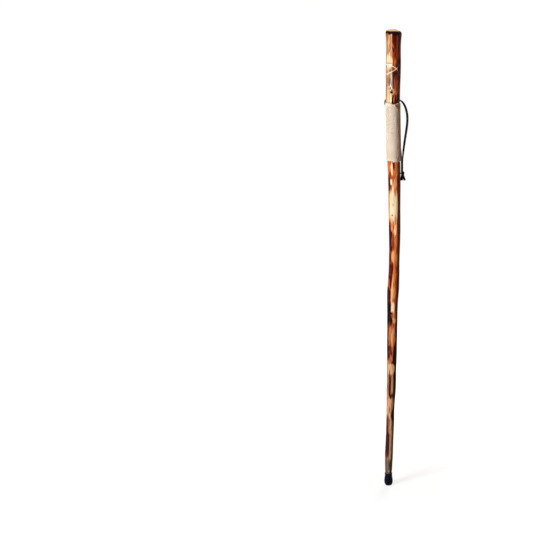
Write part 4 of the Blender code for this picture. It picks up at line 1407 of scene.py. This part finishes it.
class STICK_OT_grip(bpy.types.Operator):
    """Winds the twisted cord round the grip and tucks in its ends"""

    bl_idname = "walking_stick.wind_grip"
    bl_label = "Wind grip"

    def execute(self, context):
        settings = context.scene.stick_cord
        pitch = (GRIP_HIGH - GRIP_LOW) / (settings.turns + 1)
        radius = pitch / 2 * 1.03
        cord = cord_material("natural_cord", settings.light, settings.dark)
        # The glued end's darker colour is painted shade between its strands, like the cord's
        glued = cord_material("glued_cord", settings.glued, [value * 0.45 for value in settings.glued])
        step_turn = 2 * math.pi / CORD_SECTION_POINTS
        winding = twisted_cord("grip_cord", winding_points(settings.turns, radius), radius, step_turn)
        add_piece("grip_cord", winding, "stick", cord, ["grip_winding"])
        reach = CORE_RADIUS + 2 * radius
        spacing = 2 * math.pi * reach / (TWISTS_PER_TURN * CORD_SECTION_POINTS)
        for k, route in enumerate(CROSSING_STRANDS):
            points = surface_cord(route, reach - radius * 0.3, spacing)
            strand = twisted_cord(f"grip_crossing_{k + 1}", points, radius, step_turn)
            add_piece(f"grip_crossing_{k + 1}", strand, "stick", cord)
        points = surface_cord(GLUED_END, reach - radius, spacing)
        swell = np.interp(np.linspace(0, 1, len(points)), np.linspace(0, 1, len(GLUED_SWELL)), GLUED_SWELL)
        stub = twisted_cord("grip_glued_end", points, radius, step_turn, swell)
        add_piece("grip_glued_end", stub, "stick", glued, ["grip_cord_end"])
        return {"FINISHED"}


def lace_matrix(place, along, across, width, thickness):
    """Place of a lace's section, with X across its width and Y through it, scaled to its real size."""
    across = (across - across.dot(along) * along).normalized()
    through = along.cross(across)
    turn = Matrix((across, through, along)).transposed().to_4x4()
    return Matrix.Translation(place) @ turn @ Matrix.Diagonal((width / 2, thickness / 2, 1, 1))


def sweep(places, name):
    """A lace through places, each a matrix for a section of unit half width and half thickness."""
    shape = bmesh.new()
    ring = bmesh.ops.create_circle(shape, cap_ends=True, segments=LACE_SIDES, radius=1)["verts"]
    for vertex in ring:
        total = sum(abs(value) ** LACE_SQUARENESS for value in vertex.co.xy)
        vertex.co /= total ** (1 / LACE_SQUARENESS)
    bmesh.ops.transform(shape, matrix=places[0], verts=ring)
    edges = list(shape.edges)
    for before, after in zip(places, places[1:]):
        grown = bmesh.ops.extrude_edge_only(shape, edges=edges)["geom"]
        vertices = [part for part in grown if isinstance(part, bmesh.types.BMVert)]
        edges = [part for part in grown if isinstance(part, bmesh.types.BMEdge)]
        edges = [edge for edge in edges if all(vertex in set(vertices) for vertex in edge.verts)]
        bmesh.ops.transform(shape, matrix=after @ before.inverted(), verts=vertices)
    bmesh.ops.holes_fill(shape, edges=edges)
    settle_order(shape)
    return finish_mesh(shape, name, 60)


def lace_places(origin, route, settings):
    """Places of a lace's sections along a route from an origin, and the points of its middle line."""
    stations = smooth_route(route, LACE_STEP)
    points = [origin + Vector(row[:3]) for row in stations]
    places = []
    for k, point in enumerate(points):
        along = (points[min(k + 1, len(points) - 1)] - points[max(k - 1, 0)]).normalized()
        turn = math.radians(stations[k][3])
        across = Vector((math.cos(turn), math.sin(turn), 0))
        places.append(lace_matrix(point, along, across, settings.width, settings.thickness))
    return places, points


def knot_place(turn):
    """The knot's middle, turned round Z by its own turn and a further one."""
    return Matrix.Translation(KNOT_MIDDLE) @ Matrix.Rotation(KNOT_TURN + turn, 4, "Z")


def knot_band(tilt, turn, reach, height, thickness, swell):
    """Places of one flat turn of lace round the knot, tilted, as a closed ring."""
    place = knot_place(turn) @ Matrix.Rotation(tilt, 4, "Y")
    places = []
    for k in range(KNOT_STEPS + 1):
        angle = 2 * math.pi * k / KNOT_STEPS
        x, y = reach[0] * math.cos(angle), reach[1] * math.sin(angle)
        point = Vector((x, y, swell * math.sin(2 * angle)))
        along = Vector((-reach[0] * math.sin(angle), reach[1] * math.cos(angle), 0)).normalized()
        places.append(place @ lace_matrix(point, along, Vector((0, 0, 1)), height, thickness))
    return places


def knot_mesh(settings):
    """The overhand knot: a core of folded lace with two flat turns crossing over it."""
    size = (KNOT_HIGH - KNOT_LOW) * KNOT_FULLNESS
    shape = bmesh.new()
    bmesh.ops.create_uvsphere(shape, u_segments=32, v_segments=20, radius=0.5)
    core_size = [whole * share for whole, share in zip(size, KNOT_CORE)]
    bmesh.ops.scale(shape, vec=core_size, verts=shape.verts)
    bmesh.ops.transform(shape, matrix=knot_place(0), verts=shape.verts)
    settle_order(shape)
    parts = [finish_mesh(shape, "knot_core", 60)]
    reach = (size.x * KNOT_REACH, size.y * KNOT_REACH)
    thickness = settings.thickness * KNOT_THINNING
    for tilt, turn, share, swell in KNOT_BANDS:
        places = knot_band(
            math.radians(tilt), math.radians(turn), reach, settings.width * share, thickness, swell)
        parts.append(sweep(places, "knot_turn"))
    shape = bmesh.new()
    for part in parts:
        shape.from_mesh(part)
        bpy.data.meshes.remove(part)
    mesh = bpy.data.meshes.new("strap_knot_turns")
    shape.to_mesh(mesh)
    shape.free()
    mesh.shade_smooth()
    mesh.set_sharp_from_angle(angle=math.radians(60))
    return mesh


class STICK_OT_strap(bpy.types.Operator):
    """Builds the leather wrist strap: two strands of one lace, its knot and its two ends"""

    bl_idname = "walking_stick.build_strap"
    bl_label = "Build strap"

    def execute(self, context):
        settings = context.scene.stick_leather
        leather = leather_material(settings)
        knot = add_piece("knot", knot_mesh(settings), "strap", leather, ["strap_knot"])
        tails = []
        for name, route, node in (
            ("tail_outer", OUTER_TAIL_ROUTE, "strap_tail_outer"),
            ("tail_inner", INNER_TAIL_ROUTE, "strap_tail_inner"),
        ):
            origin = Vector((KNOT_MIDDLE.x, KNOT_MIDDLE.y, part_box(node)[1].z + TAIL_RISE))
            places, _ = lace_places(origin, route, settings)
            tails.append(add_piece(name, sweep(places, name), "strap", leather, [node]))
        for name, route, node, side, on_it in (
            ("strand_front", FRONT_ROUTE, "strap_front", 1, [knot, *tails]),
            ("strand_rear", REAR_ROUTE, "strap_rear", -1, []),
        ):
            places, points = lace_places(HOLE_MIDDLE, route, settings)
            strand = add_piece(name, sweep(places, name), "strap", leather, [node])
        return {"FINISHED"}


def cover_outline():
    """Tip cover's outline, from the sole's middle over the outside and the lip down into the socket."""
    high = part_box("tip_cover")[1]
    top, wide = high.z, high.x
    socket = float(STEM_RINGS[1, 2]) + SEAM
    outline = list(SOLE_RINGS)
    for angle in np.linspace(math.pi / 2, 0, 12):
        radius = SOLE_RADIUS + (wide - SOLE_RADIUS) * math.cos(angle)
        outline.append((radius, WIDE_LEVEL * (1 - math.sin(angle))))
    thick, tall = BEAD_SIZE
    for share in np.linspace(0, 1, 16)[1:]:
        waist = LIP_RADIUS + (wide - LIP_RADIUS) * (0.5 + 0.5 * math.cos(math.pi * share)) ** WAIST_CURVE
        outline.append((waist, WIDE_LEVEL + share * (top - 2 * tall - WIDE_LEVEL)))
    for angle in np.linspace(-math.pi / 2, math.pi * 0.75, 12):
        radius = LIP_RADIUS - BEAD_INSET + thick * math.cos(angle)
        outline.append((radius, top - tall + tall * math.sin(angle)))
    inside = [top - LIP_CHAMFER, (top + SOCKET_FLOOR) / 2, SOCKET_FLOOR]
    outline += [(socket, level) for level in inside]
    outline += [(socket * 0.5, SOCKET_FLOOR), (0, SOCKET_FLOOR)]
    return outline


class STICK_OT_tip(bpy.types.Operator):
    """Builds the rubber tip cover and finishes the steel disc inside it"""

    bl_idname = "walking_stick.build_tip"
    bl_label = "Build tip"

    def execute(self, context):
        mesh = finish_mesh(spin_outline(cover_outline(), 112), "rubber_tip", 35)
        rubber = rubber_material(context.scene.stick_rubber)
        add_piece("rubber_tip", mesh, "tip", rubber, ["tip_cover"])
        washer = frame["nodes"]["tip_washer"]
        washer.data.materials.clear()
        washer.data.materials.append(steel_material())
        return {"FINISHED"}


def ray_share(tree):
    """1 for rays from the camera and for rays that a glossy or clear surface sends on, else 0."""
    path = add_node(tree, "ShaderNodeLightPath")
    seen = maths(tree, "ADD", path.outputs["Is Camera Ray"], path.outputs["Is Glossy Ray"])
    return maths(tree, "ADD", seen, path.outputs["Is Transmission Ray"], True)


def floor_material():
    material = bpy.data.materials.new("white_floor")
    material.use_nodes = True
    tree = material.node_tree
    tree.nodes.clear()
    place = object_place(tree)
    reach = add_node(tree, "ShaderNodeVectorMath", {0: place}, operation="LENGTH").outputs["Value"]
    glow = remap(tree, reach, 0.0, FLOOR_FADE, *FLOOR_GLOW, True)
    strength = maths(tree, "MULTIPLY", ray_share(tree), glow)
    glow = add_node(tree, "ShaderNodeEmission", {"Color": (1, 1, 1, 1), "Strength": strength})
    grey = mix_colours(tree, ray_share(tree), (FLOOR_BOUNCE,) * 3, (FLOOR_SEEN,) * 3)
    paper = add_node(tree, "ShaderNodeBsdfDiffuse", {"Color": grey})
    both = add_node(tree, "ShaderNodeAddShader", {0: glow.outputs[0], 1: paper.outputs[0]})
    add_node(tree, "ShaderNodeOutputMaterial", {"Surface": both.outputs[0]})
    return material


def add_lamp(name, size, stand, aim, power, colour, hidden_from):
    """A rectangular lamp on a stand that is given by its direction in degrees, distance and height."""
    lamp = bpy.data.lights.new(name, "AREA")
    lamp.shape = "RECTANGLE"
    lamp.size, lamp.size_y = size
    lamp.energy = power
    lamp.color = srgb(*colour)
    holder = bpy.data.objects.new(name, lamp)
    turn = math.radians(stand[0])
    holder.location = (stand[1] * math.sin(turn), -stand[1] * math.cos(turn), stand[2])
    holder.rotation_euler = (Vector((0, 0, aim)) - holder.location).to_track_quat("-Z", "Y").to_euler()
    setattr(holder, f"visible_{hidden_from}", False)
    bpy.context.scene.collection.objects.link(holder)


def add_camera():
    yaw, pitch, roll = CAMERA_YAW, CAMERA_PITCH, CAMERA_ROLL
    forward = Vector((math.sin(yaw) * math.cos(pitch), math.cos(yaw) * math.cos(pitch), math.sin(pitch)))
    level = Vector((math.cos(yaw), -math.sin(yaw), 0))
    upright = level.cross(forward)
    right = math.cos(roll) * level + math.sin(roll) * upright
    up = -math.sin(roll) * level + math.cos(roll) * upright
    lens = bpy.data.cameras.new("camera")
    lens.sensor_width = 36
    lens.lens = CAMERA_LENS
    camera = bpy.data.objects.new("camera", lens)
    turn = Matrix((right, up, -forward)).transposed().to_4x4()
    camera.matrix_world = Matrix.Translation(CAMERA_PLACE) @ turn
    bpy.context.scene.collection.objects.link(camera)
    bpy.context.scene.camera = camera


class STICK_OT_studio(bpy.types.Operator):
    """Sets up the floor, the lamps, the world and the camera"""

    bl_idname = "walking_stick.build_studio"
    bl_label = "Build studio"

    def execute(self, context):
        settings = context.scene.stick_studio
        shape = bmesh.new()
        bmesh.ops.create_grid(shape, x_segments=1, y_segments=1, size=FLOOR_SIZE)
        mesh = bpy.data.meshes.new("floor")
        shape.to_mesh(mesh)
        shape.free()
        mesh.materials.append(floor_material())
        floor = bpy.data.objects.new("floor", mesh)
        context.scene.collection.objects.link(floor)
        for name, size, stand, aim, power, colour, hidden_from in LAMPS:
            add_lamp(name, size, stand, aim, getattr(settings, power), colour, hidden_from)
        world = bpy.data.worlds.new("studio")
        world.use_nodes = True
        tree = world.node_tree
        tree.nodes.clear()
        strength = remap(tree, ray_share(tree), 0.0, 1.0, settings.ambient, 1.0)
        warm = mix_colours(tree, ray_share(tree), AMBIENT_COLOUR, (1, 1, 1))
        glow = add_node(tree, "ShaderNodeBackground", {"Color": warm, "Strength": strength})
        add_node(tree, "ShaderNodeOutputWorld", {"Surface": glow.outputs[0]})
        context.scene.world = world
        context.scene.view_settings.view_transform = "Standard"
        add_camera()
        return {"FINISHED"}


class STICK_PT_panel(bpy.types.Panel):
    """Walking stick"""

    bl_label = "Walking stick"
    bl_idname = "STICK_PT_panel"
    bl_space_type = "VIEW_3D"
    bl_region_type = "UI"
    bl_category = "Walking stick"

    def draw(self, context):
        scene = context.scene
        for title, settings, operator in (
            ("Wood", scene.stick_wood, STICK_OT_stem),
            ("Grip cord", scene.stick_cord, STICK_OT_grip),
            ("Strap", scene.stick_leather, STICK_OT_strap),
            ("Tip", scene.stick_rubber, STICK_OT_tip),
            ("Studio", scene.stick_studio, STICK_OT_studio),
        ):
            box = self.layout.box()
            box.label(text=title)
            for name in settings.__annotations__:
                box.prop(settings, name)
            box.operator(operator.bl_idname)


CLASSES = (
    WoodSettings, CordSettings, LeatherSettings, RubberSettings, StudioSettings,
    STICK_OT_stem, STICK_OT_grip, STICK_OT_strap, STICK_OT_tip, STICK_OT_studio, STICK_PT_panel,
)
SETTINGS = {
    "stick_wood": WoodSettings,
    "stick_cord": CordSettings,
    "stick_leather": LeatherSettings,
    "stick_rubber": RubberSettings,
    "stick_studio": StudioSettings,
}


def register():
    for item in CLASSES:
        bpy.utils.register_class(item)
    for name, group in SETTINGS.items():
        setattr(bpy.types.Scene, name, PointerProperty(type=group))


def unregister():
    for name in SETTINGS:
        delattr(bpy.types.Scene, name)
    for item in reversed(CLASSES):
        bpy.utils.unregister_class(item)


def main():
    register()
    bpy.ops.walking_stick.build_studio()
    bpy.ops.walking_stick.build_strap()
    bpy.ops.walking_stick.build_stem()
    bpy.ops.walking_stick.wind_grip()
    bpy.ops.walking_stick.build_tip()


if __name__ == "__main__":
    main()
